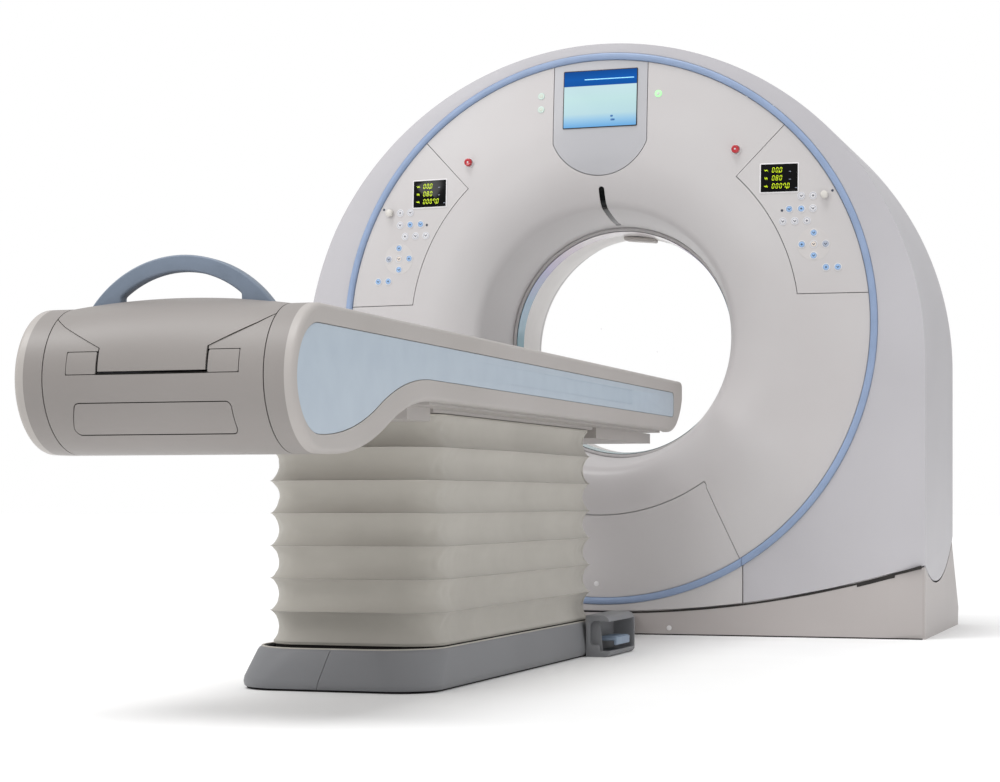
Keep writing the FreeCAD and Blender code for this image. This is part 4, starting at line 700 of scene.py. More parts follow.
def panel_outline(gap, side):
    """An operation panel: a piece of a ring, level along its foot."""
    inner, outer = PANEL_INNER + gap, RIM + 30
    low = PANEL_LOW + gap - RING_Z
    high = math.radians(PANEL_ANGLE) - gap / outer
    rims = []
    for radius in (inner, outer):
        start = math.asin(low / radius)
        rims.append([on_ring(radius, start + (high - start) * i / 40) for i in range(41)])
    return [(side * x, z) for x, z in rims[0] + rims[1][::-1]]


def lower_outline(gap):
    """The service panel under the bore, from an arc round the flare down to the swing gap."""
    radius = LOWER_SEAM + gap
    tip = math.radians(-55.2) - gap / radius
    start = math.pi - tip
    top = [on_ring(radius, start - (start - math.tau - tip) * i / 72) for i in range(73)]
    corner = bow(top[-1], (radius * math.cos(tip) + 6, top[-1][1] - 5),
                 (top[-1][0] + 9, top[-1][1] - 20), 6)[1:]
    right = corner + [(486 - gap, 262), (496 - gap, 236), (496 - gap, -40)]
    return [(-x, z) for x, z in right[::-1]] + top + right


def prism(name, outline):
    """A cutter through the front covers, front to back."""
    return slab(name, outline, FRONT - 70, FRONT + 70, "y")


print("panel outline has", len(panel_outline(0, 1)), "points")

# %% [markdown]
# The stop buttons and push knobs go through their covers, and the positioning light shines out of a slot
# above the bore. The holes are cut with the covers, so that the stems really pass through.

# %% Cut the front cover and its panels
STOP_AT, KNOB_AT = (475.0, 1642.0), (774.0, 1478.0)
SLOT_HALF, SLOT_LOW, SLOT_HIGH = 10.0, TILT_Z + 413, TILT_Z + 519


def disc(centre, radius):
    """A round hole's outline."""
    x, z = centre
    angles = [math.tau * i / 32 for i in range(32)]
    return [(x + radius * math.cos(a), z + radius * math.sin(a)) for a in angles]


def slot_outline(gap):
    """The laser window's slot: square below, round above."""
    half, high = SLOT_HALF - gap, SLOT_HIGH - gap
    crown = bow((half, high - half), (0, high), (-half, high - half), 16)
    return [(-half, SLOT_LOW + gap), (half, SLOT_LOW + gap)] + crown


screen_panel = carve(twin(front_skin, "screen_surround"), "INTERSECT", prism("u", surround_outline(SEAM)))
panels = []
for side, word in SIDES:
    panel = carve(twin(front_skin, f"operation_panel_{word}"), "INTERSECT",
                  prism("p", panel_outline(SEAM, side)))
    carve(panel, "DIFFERENCE", prism("hole", disc((side * KNOB_AT[0], KNOB_AT[1]), 6.5)))
    panels.append(panel)
lower_cover = carve(twin(front_skin, "lower_cover_inner"), "INTERSECT", prism("l", lower_outline(SEAM)))
slot_part = carve(twin(front_skin, "slot_part"), "INTERSECT",
                  slab("s", slot_outline(0.6), FRONT - 60, FRONT + 260, "y"))
front_cover = front_skin
front_cover.name = "front_cover_skin"
carve(front_cover, "DIFFERENCE", prism("u", surround_outline(0)), prism("r", panel_outline(0, 1)),
      prism("l", panel_outline(0, -1)), prism("low", lower_outline(0)),
      slab("slot", slot_outline(0), FRONT - 60, FRONT + 260, "y"),
      *[prism("stop", disc((side * STOP_AT[0], STOP_AT[1]), 8.5)) for side in (1, -1)])
print("front cover after cutting:", len(front_cover.data.polygons), "faces")

# %% [markdown]
# The shroud wraps the tilting body: a half circle standing on straight sides, hollow, and cut away
# below on a barrel-shaped surface so that it can swing in the base's trough without scraping. Its front
# turns back a little towards both sides. A hand-sprayed shell has no sharp rim, so the outer edges are
# rounded with a 16 mm radius before the hollow and the opening are cut, while the solid is still simple
# enough for a clean bevel.

# %% Shroud and the surface it swings on
SHELL_HALF, ARCH_Z = 1103.0, 928.0
SWING, BARREL = 998.0, 3882.0
BAND_HOLE = 950.0


def arch_outline(inset):
    """The shroud from the front: a half circle on straight sides."""
    half = SHELL_HALF - inset
    return [(half, -50)] + bow((half, ARCH_Z), (0, ARCH_Z + half), (-half, ARCH_Z), 128) + [(-half, -50)]


def swing_radius(x):
    """Radius about the tilt axis of the tilting body's underside."""
    return SWING - (BARREL - math.sqrt(BARREL * BARREL - x * x))


def swing_body(name, gap, inside):
    """What lies inside, or outside, the underside's barrel surface below the tilt axis."""
    stations = [-1240 + 40 * i for i in range(63)]
    angles = [math.radians(-62 + 2 * i) for i in range(63)]
    points = []
    for x in stations:
        for other in (False, True):
            for a in angles[::-1] if other else angles:
                r = (400 if inside else 2400) if other else swing_radius(x) + gap
                points.append((x, r * math.sin(a), TILT_Z - r * math.cos(a)))
    count = 2 * len(angles)
    return hull(name, [points[i:i + count] for i in range(0, len(points), count)])


def turned_back(name, side, step=0.0):
    """Wedge that takes the front back by 14 mm towards one side."""
    slope = 14 / 118
    plan = [(985, FRONT + step), (1170, FRONT + step + slope * 185), (1170, FRONT - 60), (985, FRONT - 60)]
    return slab(name, [(side * x, y) for x, y in plan], -60, 2300, "z")


shroud = slab("shroud_shell", arch_outline(0), FRONT, REAR, "y")
carve(shroud, "DIFFERENCE", turned_back("a", 1), turned_back("b", -1))
rounded(shroud, 16, 5, 60)
hollow = slab("hollow", arch_outline(WALL), FRONT + WALL, REAR + 20, "y")
carve(hollow, "DIFFERENCE", turned_back("a", 1, WALL), turned_back("b", -1, WALL))
ring_hole = lathe("ring_hole", [(BAND_HOLE, FRONT - 60, RING_Z), (BAND_HOLE, FRONT + 60, RING_Z),
                                (1, FRONT + 60, RING_Z), (1, FRONT - 60, RING_Z)])
carve(shroud, "DIFFERENCE", hollow, ring_hole, swing_body("below", 0, False))
lower_band = carve(twin(shroud, "lower_band"), "INTERSECT",
                   box("band", (-496 + SEAM, FRONT - 50, -60), (496 - SEAM, FRONT + 40, 290)))
carve(shroud, "DIFFERENCE", box("parted", (-497, FRONT - 50, -60), (497, FRONT + 60, 290)))
web = lathe("web", [(956, FRONT + 5.5, RING_Z), (956, FRONT + 9, RING_Z),
                    (905, FRONT + 9, RING_Z), (905, FRONT + 5.5, RING_Z)])
carve(web, "INTERSECT", box("low", (-484, FRONT - 50, -60), (484, FRONT + 60, 262)))
carve(web, "DIFFERENCE", swing_body("below", 1, False))
lower_cover = joined("lower_cover", [lower_cover, lower_band, web])
hand_over(front_cover, cover_paint, "gantry_body", "white_cover", "front_cover")
hand_over(lower_cover, cover_paint, "gantry_body", "white_cover", "lower_front_cover")
hand_over(screen_panel, panel_paint, "gantry_body", "white_cover", "screen_panel")
for panel in panels:
    hand_over(panel, cover_paint, "gantry_body", "white_cover", "operation_panels")
hand_over(shroud, shroud_paint, "gantry_body", "shroud_cover", "shroud")

# %% [markdown]
# The blue line round the front is a soft bead pushed into the gap between cover and shroud. Its section
# is a low arch with a crisp foot, so it catches one thin highlight all the way round. It parts where
# the lower cover comes off.

# %% Blue bead
BEAD_IN, BEAD_OUT, BEAD_PROUD = 925.0, 949.3, 9.0
half_bead = (BEAD_OUT - BEAD_IN) / 2
arch = [(BEAD_IN + half_bead * (1 - math.cos(math.pi * i / 12)),
         FRONT + 2 - (BEAD_PROUD + 1.5) * math.sin(math.pi * i / 12) ** 0.7, RING_Z) for i in range(13)]
bead = lathe("trim_bead_upper", arch + [(BEAD_OUT, FRONT + 4, RING_Z), (BEAD_IN, FRONT + 4, RING_Z)])
bead_low = carve(twin(bead, "trim_bead_lower"), "INTERSECT",
                 box("low", (-491, FRONT - 50, 0), (491, FRONT + 60, 300)))
carve(bead, "DIFFERENCE", box("rest", (-492.5, FRONT - 50, 0), (492.5, FRONT + 60, 300)))
hand_over(bead, bead_blue, "gantry_body", "blue_trim", "trim_ring", crease=50)
hand_over(bead_low, bead_blue, "gantry_body", "blue_trim", "trim_ring", crease=50)

# %% [markdown]
# Inside the bore come the window, a thin film strip that lets the fan beam through, and the liner that
# opens out to the rear flare. The film splits light a little, and that iridescent reflection is painted
# into its colour: from one side of the bore to the other it goes from blue-green through violet to a
# pinkish white. The painted colour goes by where a point lies round the bore, never by where the camera
# is, so that it stays put in every view. The liner is painted paler than its own grey, for the light
# that comes through the bore from behind.

# %% Scan window, liner and rear cover
def painted_iridescent_film(name):
    """Film with painted iridescence: its colour runs with the height in the bore, in slightly wavy bands."""
    material, tree, shader = finish(name, Roughness=0.25, IOR=1.6, Coat_Weight=0.5, Coat_Roughness=0.1)
    centred = add(tree, "ShaderNodeMapping", Vector=spot(tree),
                  Location=(0, 0, -TILT_Z * MM)).outputs["Vector"]
    height = ranged(tree, add(tree, "ShaderNodeSeparateXYZ", centred).outputs["Z"], 0.0, 1.0, -0.4, 0.4)
    bands = noise(tree, spot(tree), 9.0, 3.0, Distortion=0.6)
    level = calc(tree, "ADD", height, calc(tree, "MULTIPLY_ADD", bands, 0.16, -0.08))
    feed(tree, shader, Base_Color=tint(
        tree, level, (0.05, "#a9c0c4"), (0.45, "#86b0ba"), (0.7, "#86a9c6"), (0.84, "#a9a3cf"),
        (0.93, "#cdbccb"), (1.0, "#e2dcdc")))
    return material


film = painted_iridescent_film("polyester_film_painted_iridescence")
straight = [(396 - 6 * i / 6, -33 + 60 * i / 6, TILT_Z) for i in range(7)]
window = lathe("scan_window_strip", straight + [(393.5, 27, TILT_Z), (397, 26, TILT_Z), (397, -33, TILT_Z)])
hand_over(window, film, "gantry_body", "window_strip", "scan_window")

LINER_BEND = (32 ** 2 + 208 ** 2) / (2 * 32)
inner = walk((390, 27.5), 90, [92.5, (LINER_BEND, -math.degrees(math.asin(208 / LINER_BEND)))], finest=1.0)
liner = lathe("bore_liner_skin", [(r, y, TILT_Z) for r, y in inner + beside(inner, -4)[::-1]])
hand_over(liner, liner_painted_backlight, "gantry_body", "liner_grey", "bore_liner")

REAR_DROP, REAR_DEPTH = 118.0, REAR - 328
REAR_BEND = (REAR_DROP ** 2 + REAR_DEPTH ** 2) / (2 * REAR_DROP)
turn = math.degrees(math.acos(1 - REAR_DROP / REAR_BEND))
inner = walk((422.5, 328.5), 90, [(REAR_BEND, -turn)], finest=2.0)
inner = [(r, min(y, REAR)) for r, y in inner]
rear = lathe("rear_flare", [(r, y, TILT_Z) for r, y in inner + beside(inner, -WALL)[::-1]])
plate = slab("rear_plate", arch_outline(WALL + 2), REAR - WALL, REAR, "y")
opening = lathe("opening", [(541, REAR - 50, TILT_Z), (541, REAR + 50, TILT_Z),
                            (1, REAR + 50, TILT_Z), (1, REAR - 50, TILT_Z)])
carve(plate, "DIFFERENCE", opening, swing_body("below", 0, False))
rear_cover = joined("rear_cover_shell", [plate, rear])
carve(rear_cover, "INTERSECT", box("trim", (-1300, 300, 0), (1300, REAR, 2200)))
hand_over(rear_cover, cover_paint, "gantry_body", "white_cover", "rear_cover")

# %% [markdown]
# Screen, displays, keys and lamps all stand on the cone, which leans back by five degrees. One helper
# gives the place and lean of any spot on it, as a matrix: things are modelled flat, facing the front,
# about the origin, and then laid on the cone in one go.

# %% Laying things on the cone
def on_front(x, z, proud=0.0):
    """Matrix that lays a thing, drawn flat in XZ about the origin and facing -Y, at x, z on the front."""
    radius = math.hypot(x, z - RING_Z)
    y = dome_y(radius)
    lean = math.atan((dome_y(radius + 1) - dome_y(radius - 1)) / 2)
    around = Vector((-(z - RING_Z), 0, x)).normalized()
    turn = Matrix.Rotation(lean, 4, around)
    return Matrix.Translation(Vector((x, y, z)) * MM) @ turn @ Matrix.Translation((0, -proud * MM, 0))


def lay(piece, matrix):
    """Move a piece's own points, so that its origin stays where it is."""
    piece.data.transform(matrix)
    return piece


def pill(half_wide, half_tall, radius):
    """Rectangle with round corners, about the origin."""
    wide, tall = half_wide - radius, half_tall - radius
    corners = ((wide, tall, 0), (-wide, tall, 90), (-wide, -tall, 180), (wide, -tall, 270))
    return [point for x, z, start in corners for point in arc(x, z, radius, start, 6)]


def tile(name, outline, thick, soft, matrix):
    """A flat thing with its front edge softened, laid on the front covers."""
    piece = slab(name, outline, -thick, 2.0, "y")
    rounded(piece, soft, 2, 60)
    return lay(piece, matrix)


# %% [markdown]
# The lit screen is made with colour fields alone: a deep blue header with a pale line, a soft sky
# field, and a blue glow along the foot. A ramp over the height gives all three. It emits light of its
# own, so its colours stay fresh whatever the studio does, and its glass reflects very little.

# %% Screen
SCREEN_Z, SCREEN_WIDE, SCREEN_TALL = 1841.0, 129, 98      # centre and half sizes


def lit_screen(name):
    """Colour fields over the screen's height, with a glow that is a little uneven."""
    material, tree, shader = finish(name, Roughness=0.2, Base_Color=linear("#0a0d12"),
                                    Emission_Strength=0.95,
                                    IOR=1.15)
    height = add(tree, "ShaderNodeSeparateXYZ", spot(tree)).outputs["Z"]
    level = ranged(tree, height, 0.0, 1.0, (SCREEN_Z - SCREEN_TALL) * MM, (SCREEN_Z + SCREEN_TALL) * MM)
    field = tint(tree, level, (0.0, "#6fb2ea"), (0.14, "#a3d2f0"), (0.24, "#c2e4ec"), (0.5, "#c9ebec"),
                 (0.733, "#cdeaf0"), (0.737, "#0a55a8"), (0.86, "#0b5cb4"), (1.0, "#084c9a"))
    fade = ranged(tree, noise(tree, spot(tree), 5.0, 1.0), 0.9, 1.05)
    feed(tree, shader, Emission_Color=vector_calc(tree, "SCALE", field, Scale=fade)["Vector"])
    return material


def glow_of(name, code, power):
    """A small lit thing: its glow wanders a little, as light in a cast lens does."""
    material, tree, shader = finish(name, Roughness=0.3, Base_Color=linear(code), Emission_Strength=power)
    deep = "#" + "".join(f"{int(int(code[i:i + 2], 16) * 0.88):02x}" for i in (1, 3, 5))
    feed(tree, shader, Emission_Color=tint(tree, noise(tree, spot(tree), 400.0), (0.3, deep), (0.7, code)))
    return material


SCREEN_SEAT = on_front(0, SCREEN_Z)
screen_rim = tile("screen_rim", pill(SCREEN_WIDE + 3, SCREEN_TALL + 3, 4), 1.2, 0.8, SCREEN_SEAT)
hand_over(screen_rim, dark_rubber_and_shade, "gantry_body", "screen_glass", "screen")
screen = tile("screen_lit", pill(SCREEN_WIDE, SCREEN_TALL, 2), 2.0, 0.6, SCREEN_SEAT)
hand_over(screen, lit_screen("screen_lit_fields"), "gantry_body", "screen_glass", "screen")
line_light = glow_of("screen_line_pale", "#8fd0ee", 0.7)
mark_dark = glow_of("screen_mark_blue", "#2a5f96", 0.3)
line = tile("screen_header_line", [(-55, 0), (120, 0), (120, 2.2), (-55, 2.2)], 2.3, 0.3, SCREEN_SEAT)
lay(line, Matrix.Translation((0, 0, 66 * MM)))
hand_over(line, line_light, "gantry_body", "screen_glass")
marks = [tile("mark", [(x + a, z + b) for a, b in pill(w, 3.4, 3.2)], 2.3, 0.3, SCREEN_SEAT)
         for x, z, w in ((42, -63, 5), (46, -76, 8))]
hand_over(joined("screen_marks", marks), mark_dark, "gantry_body", "screen_glass")

# %% [markdown]
# The two displays show plain numbers in seven-segment digits: tilt, table height and table place. A
# digit is up to seven equal bars, so the bars are points with a turn, and Geometry Nodes puts one bar
# on each point. The tree names its sizes as inputs, ends in Realize Instances and Set Material, and the
# result is turned into a plain mesh at once.

# %% A tree that puts a bar on every point
def new_tree(name, sockets):
    """A tree with named inputs, numbers or a kind: gives it, their identifiers and what they feed."""
    tree = bpy.data.node_groups.new(name, "GeometryNodeTree")
    for way in ("OUTPUT", "INPUT"):
        tree.interface.new_socket("Geometry", in_out=way, socket_type="NodeSocketGeometry")
    names = {}
    for key, value in sockets.items():
        kind = value if isinstance(value, str) else "Float"
        socket = tree.interface.new_socket(key, in_out="INPUT", socket_type="NodeSocket" + kind)
        if kind == "Float":
            socket.default_value = value
        names[key] = socket.identifier
    return tree, names, add(tree, "NodeGroupInput").outputs


def close_tree(tree, given, geometry):
    """Every tree ends alike: real geometry, painted, handed out."""
    real = add(tree, "GeometryNodeRealizeInstances", Geometry=geometry).outputs["Geometry"]
    painted = add(tree, "GeometryNodeSetMaterial", Geometry=real, Material=given["Material"])
    add(tree, "NodeGroupOutput", Geometry=painted.outputs["Geometry"])


def grown(name, points, attributes, grower, values):
    """Points with attributes, run through a tree, as a plain mesh object."""
    tree, names = grower
    mesh = bpy.data.meshes.new(name)
    mesh.from_pydata([tuple(c * MM for c in p) for p in points], [], [])
    for key, numbers in attributes.items():
        many = isinstance(numbers[0], tuple)
        store = mesh.attributes.new(key, "FLOAT_VECTOR" if many else "FLOAT", "POINT")
        flat = [c for entry in numbers for c in entry] if many else numbers
        store.data.foreach_set("vector" if many else "value", flat)
    piece = bpy.data.objects.new(name, mesh)
    STUDIO.collection.objects.link(piece)
    step = piece.modifiers.new("grow", "NODES")
    step.node_group = tree
    for key, value in values.items():
        step[names[key]] = value
    return settle(piece)


def on_points(tree, given, instance, rotation, **more):
    """The last part of a tree that puts one solid on every point."""
    put = add(tree, "GeometryNodeInstanceOnPoints", Points=given["Geometry"], Instance=instance,
              Rotation=rotation, **more)
    close_tree(tree, given, put.outputs["Instances"])


def attribute(tree, kind, name):
    """What each point carries under a name."""
    return add(tree, "GeometryNodeInputNamedAttribute", settings={"data_type": kind},
               Name=name).outputs["Attribute"]


def bar_tree():
    """One bar on every point, turned in the plane of the front."""
    tree, names, given = new_tree("bars_on_points", {"Long": 0.01, "Thick": 0.002, "Deep": 0.0004,
                                                     "Material": "Material"})
    size = add(tree, "ShaderNodeCombineXYZ", given["Long"], given["Deep"], given["Thick"]).outputs["Vector"]
    turn = add(tree, "ShaderNodeCombineXYZ", Y=attribute(tree, "FLOAT", "turn")).outputs["Vector"]
    on_points(tree, given, add(tree, "GeometryNodeMeshCube", Size=size).outputs["Mesh"], turn)
    return tree, names


BARS = bar_tree()


def bars(name, points, turns, long, thick, deep, paint):
    """One bar on every point, each with its own turn in the plane; sizes in mm."""
    return grown(name, points, {"turn": turns}, BARS,
                 {"Long": long * MM, "Thick": thick * MM, "Deep": deep * MM, "Material": paint})
SEGMENTS = {"top": (0, 1, 0), "upper right": (0.5, 0.5, 90), "lower right": (0.5, -0.5, 90),
            "bottom": (0, -1, 0),
            "lower left": (-0.5, -0.5, 90), "upper left": (-0.5, 0.5, 90), "middle": (0, 0, 0)}
LIT = {"0": "top,upper right,lower right,bottom,lower left,upper left",
       "7": "top,upper right,lower right,upper left", "8": ",".join(SEGMENTS)}


def digits(text, left, level, tall=7.8, wide=6.4, pitch=12.6, slant=0.14):
    """Bar centres and turns of a number; a full stop is a single short bar at the foot."""
    points, turns = [], []
    x = left
    for mark in text:
        if mark == ".":
            points.append((x - pitch * 0.5 + 0.6, -2.6, level - tall))
            turns.append(math.radians(90))
            continue
        for key in LIT[mark].split(","):
            across, up, turn = SEGMENTS[key]
            z = level + up * tall
            points.append((x + across * wide + slant * up * tall, -2.6, z))
            turns.append(math.radians(turn) + (math.atan(slant) if turn else 0))
        x += pitch
    return points, turns


lit_green = glow_of("display_digits_yellow_green", "#c4dc18", 0.95)
unit_grey = glow_of("display_units_grey", "#8d93a3", 0.25)
DISPLAY_X, DISPLAY_Z = 622.0, 1540.0
for side, word in SIDES:
    place = on_front(side * DISPLAY_X, DISPLAY_Z)
    rim = tile(f"display_rim_{word}", pill(66, 51, 4), 1.6, 0.8, place)
    hand_over(rim, frame_plastic, "gantry_body", "screen_glass", "digit_displays")
    glass = tile(f"display_glass_{word}", pill(62, 47, 1.5), 2.0, 0.4, place)
    hand_over(glass, black_glass, "gantry_body", "screen_glass", "digit_displays")
    points, turns = [], []
    for text, level in (("00.0", 27), ("080", 0), ("0007.0", -27)):
        more, angles = digits(text, -20, level)
        points += more
        turns += angles
    marks, angles = [], []
    for level, shape in ((27, (30, -30)), (0, (90, 90)), (-27, (0, 90))):
        for i, angle in enumerate(shape):
            marks += [(-48 + 5 * i, -2.6, level), (-45 + 5 * i, -2.6, level - 2)]
            angles += [math.radians(angle), math.radians(-angle)]
    ends = [(x, -2.6, z) for x, z in ((36, 21), (36, -6), (57, -35))]
    for lit in (bars(f"display_digits_{word}", points, turns, 5.6, 1.5, 0.6, lit_green),
                bars(f"display_marks_{word}", marks, angles, 6.0, 1.4, 0.6, lit_green),
                bars(f"display_units_{word}", ends, [0.0, 0.0, 0.0], 7.0, 1.8, 0.6, unit_grey)):
        hand_over(lay(lit, place), None, "gantry_body", "screen_glass")

# %% [markdown]
# The keys are a printed membrane: low round domes, each with a pale ring, a dished centre and a small
# dark mark. Thirty of them, all alike, in short rows: a case for points and one tree. The dome is
# a short lathe; the tree only says where each goes, leans it with the cone, and picks its colour by
# running once for each colour. The left panel has the same keys mirrored.

# %% A tree that puts a given solid on every point
def stud_tree():
    """One given solid on every point, leaning as the point says."""
    tree, names, given = new_tree("studs_on_points",
                                  {"Stud": "Object", "Size": 1.0, "Material": "Material"})
    stud = add(tree, "GeometryNodeObjectInfo", settings={"transform_space": "ORIGINAL"},
               Object=given["Stud"])
    on_points(tree, given, stud.outputs["Geometry"], attribute(tree, "FLOAT_VECTOR", "lean"),
              Scale=given["Size"])
    return tree, names


STUDS = stud_tree()


def spin_stud(name, profile, sides=32):
    """A small turned solid about the origin, facing the front: (radius, y) from the tip inwards."""
    ring = [(r * math.cos(math.tau * i / sides), y, r * math.sin(math.tau * i / sides))
            for r, y in profile for i in range(sides)]
    rows = len(profile)
    faces = [tuple(range(sides)), tuple(range((rows - 1) * sides, rows * sides))]
    for row in range(rows - 1):
        here, there = row * sides, (row + 1) * sides
        faces += [(here + i, here + (i + 1) % sides, there + (i + 1) % sides, there + i)
                  for i in range(sides)]
    return piece_of(name, ring, faces)


def planted(name, stud, points, leans, material):
    """The stud on every point."""
    return grown(name, points, {"lean": leans}, STUDS, {"Stud": stud, "Size": 1.0, "Material": material})


def studs_at(name, stud, places, material):
    """The stud on each (x, z) of the front, leaning with the cone."""
    seats = [on_front(x, z) for x, z in places]
    return planted(name, stud, [tuple(c / MM for c in seat.translation) for seat in seats],
                   [tuple(seat.to_euler()) for seat in seats], material)


def drop(*studs):
    """Take away studs that have been planted."""
    for stud in studs:
        bpy.data.objects.remove(stud)


print("stud tree inputs:", sorted(STUDS[1]))

# %% Keys, their marks and the screw caps
WHITE_KEYS = [(735, 1477), (696, 1477), (735, 1434), (715, 1393), (675, 1393), (635, 1393)]
BLUE_KEYS = [(696, 1434), (656, 1434), (738, 1352), (698.5, 1314), (738, 1276), (818, 1236), (779, 1236)]
CREAM_KEYS, GREY_KEYS = [(738, 1314)], [(777.5, 1314)]
key_dome = spin_stud("key_dome", [(0.6, -2.0), (7.6, -1.95), (9.0, -1.5), (9.4, -0.9), (9.4, 2.0)])
key_groove = spin_stud("key_groove", [(0.6, -0.8), (10.6, -0.8), (10.6, 2.0)])
key_collar = lathe("key_collar", [(10.4, -1.3, 0), (11.0, -1.7, 0), (12.6, -1.7, 0), (13.4, -1.1, 0),
                                  (13.6, 1.5, 0), (10.4, 1.5, 0)], 32)
for word, places, paint in (("white", WHITE_KEYS, key_white), ("blue", BLUE_KEYS, key_blue),
                            ("cream", CREAM_KEYS, key_cream), ("grey", GREY_KEYS, key_grey)):
    both = places + [(-x, z) for x, z in places]
    hand_over(studs_at(f"keys_{word}", key_dome, both, paint), None, "gantry_body", "key_mix", "keypads",
              crease=60)
spots = [place for group in (WHITE_KEYS, BLUE_KEYS, CREAM_KEYS, GREY_KEYS) for place in group]
everywhere = spots + [(-x, z) for x, z in spots]
hand_over(studs_at("key_grooves", key_groove, everywhere, key_slate), None, "gantry_body", "key_mix")
hand_over(studs_at("key_collars", key_collar, everywhere, key_white), None, "gantry_body", "key_mix",
          crease=60)
drop(key_dome, key_groove, key_collar)
field_disc = spin_stud("field_disc", [(0.6, -0.35), (54.6, -0.35), (55, 0.5)], 64)
# a round field a little darker than the panel, about the middle keys
darker_field_paint = moulded("key_field_darker_grey", "#cecac9", "#c8c4c3", 0.4)
fields = studs_at("key_fields", field_disc, [(738, 1314), (-738, 1314)], darker_field_paint)
hand_over(fields, None, "gantry_body", "key_mix")
drop(field_disc)


def key_marks(places):
    """Two short strokes in the middle of a key, turned differently from key to key."""
    points, turns = [], []
    for number, (x, z) in enumerate(places):
        seat = on_front(x, z, 2.0)
        for step, angle in ((-2.2, 0.9), (2.2, -0.9)) if number % 3 else ((0, 0.0), (0, 1.5708)):
            points.append(tuple(c / MM for c in seat @ Vector((step * MM, 0, 0))))
            turns.append(angle)
    return points, turns


hand_over(bars("key_marks", *key_marks(everywhere), 7.5, 2.2, 0.5, ink_dark), None, "gantry_body",
          "key_mix")
dot = spin_stud("dot", [(0.4, -0.9), (3.6, -0.9), (4.4, -0.2), (4.4, 1.0)], 20)
dots = studs_at("panel_dots", dot, [(s * x, z) for s in (1, -1) for x, z in ((632, 1430), (799, 1492))],
                ink_dark)
hand_over(dots, None, "gantry_body", "key_mix")
drop(dot)

# %% [markdown]
# Stop buttons are turned plastic mushrooms with a shallow dish; knobs have a straight skirt and a
# rounded face. Both ride on their own small bodies, since both can be pushed. Their stems run through
# the holes that were cut in the covers.

# %% Stop buttons and push knobs
STOP_HEAD = [(0.5, -17.2), (8.6, -17.6), (10.5, -18.0), (12.6, -16.6), (13.5, -14.2), (13.5, -8.2),
             (7.6, -8.0), (7.6, 18)]
STOP_COLLAR = [(14.2, 1, 0), (17.0, 1, 0), (17.0, -3.0, 0), (16.4, -4.2, 0), (14.8, -4.2, 0),
               (14.2, -3.4, 0)]
KNOB_HEAD = [(0.5, -20), (9.0, -19.7), (11.4, -18.6), (12.6, -16.4), (13.0, -13), (13.0, -6.2),
             (5.7, -6.0), (5.7, 18)]


def seated(piece, side, at, sunk=0.0):
    """Put a turned thing, level, on the cover's face at an (x, z) of the right or left half."""
    y = dome_y(math.hypot(at[0], at[1] - RING_Z)) + sunk
    return lay(piece, Matrix.Translation(Vector((side * at[0], y, at[1])) * MM))


for side, word in SIDES:
    button = seated(spin_stud(f"stop_head_{word}", STOP_HEAD, 48), side, STOP_AT)
    hand_over(button, button_red, f"stop_{word}", "stop_red", f"stop_button_{word}", crease=50)
    mark = spin_stud(f"stop_mark_{word}", [(0.4, -18.2), (2.6, -18.2), (3.4, -17.2)], 24)
    hand_over(seated(mark, side, STOP_AT, 0.1), key_white, f"stop_{word}", "stop_red")
    collar = lay(lathe(f"stop_collar_{word}", STOP_COLLAR, 48), on_front(side * STOP_AT[0], STOP_AT[1]))
    hand_over(collar, frame_plastic, "gantry_body", "white_cover", crease=50)
    knob = seated(spin_stud(f"knob_head_{word}", KNOB_HEAD, 48), side, KNOB_AT)
    hand_over(knob, knob_plastic, f"knob_{word}", "knob_ivory", f"push_knob_{word}", crease=50)

# %% [markdown]
# The green lamp is a luminous ring round a grey button; the two on the left are the same lamp, unlit.
# Above the bore stands the laser window: a slot in the cover with a black camera eye on top, a smoked
# part below it, a thin cross line and a dark foot. It lies a little behind the cover's face.

# %% Lamps and laser window
lamp_ring = spin_stud("lamp_ring",
                      [(6.4, -1.2), (7.0, -2.1), (9.8, -2.5), (11.4, -1.9), (12, -1.0), (12, 2.0)], 40)
lamp_eye = spin_stud("lamp_eye", [(0.5, -2.3), (5.4, -2.3), (6.8, -1.5), (6.8, 1.0)], 32)
green_light = glow_of("lamp_ring_green", "#9be89a", 0.8)
pale_lens = moulded("lamp_ring_pale_green", "#cfe0d8", "#c4d6ce", 0.3)
lens_grey = moulded("lamp_lens_pale", "#d5ded2", "#ccd6c9", 0.25)
LAMPS = [(205, 1847), (-212, 1861), (-212, 1814)]
hand_over(studs_at("lamp_lit", lamp_ring, LAMPS[:1], green_light), None, "gantry_body", "lamp_green",
          "status_lamps")
hand_over(studs_at("lamp_unlit", lamp_ring, LAMPS[1:], pale_lens), None, "gantry_body", "lamp_green",
          "status_lamps")
hand_over(studs_at("lamp_eyes", lamp_eye, LAMPS, lens_grey), None, "gantry_body", "lamp_green")
drop(lamp_ring, lamp_eye)


def window_part(name, low, high):
    """A length of the laser window between two heights."""
    return carve(twin(slot_part, name), "INTERSECT", box("t", (-20, -420, low), (20, 20, high)))


slot_part.data.transform(Matrix.Translation((0, 1.2 * MM, 0)))
eye = window_part("laser_window_eye", SLOT_HIGH - 46, SLOT_HIGH + 20)
hand_over(eye, black_glass, "gantry_body", "dark_window", "laser_window", crease=60)
foot = window_part("laser_window_foot", SLOT_LOW - 20, SLOT_LOW + 36)
hand_over(foot, smoked_acrylic, "gantry_body", "dark_window", "laser_window", crease=60)
bar = window_part("laser_window_bar", SLOT_LOW + 36.2, SLOT_LOW + 40)
bar.data.transform(Matrix.Translation((0, -0.9 * MM, 0)))
hand_over(bar, dark_rubber_and_shade, "gantry_body", "dark_window", crease=60)
carve(slot_part, "INTERSECT", box("t", (-20, -420, SLOT_LOW + 40.2), (20, 20, SLOT_HIGH - 46.2)))
slot_part.name = "laser_window_middle"
hand_over(slot_part, dark_gloss("acrylic_smoked_clear", "#1d1e20", 0.2, 1.3), "gantry_body", "dark_window",
          "laser_window", crease=60)
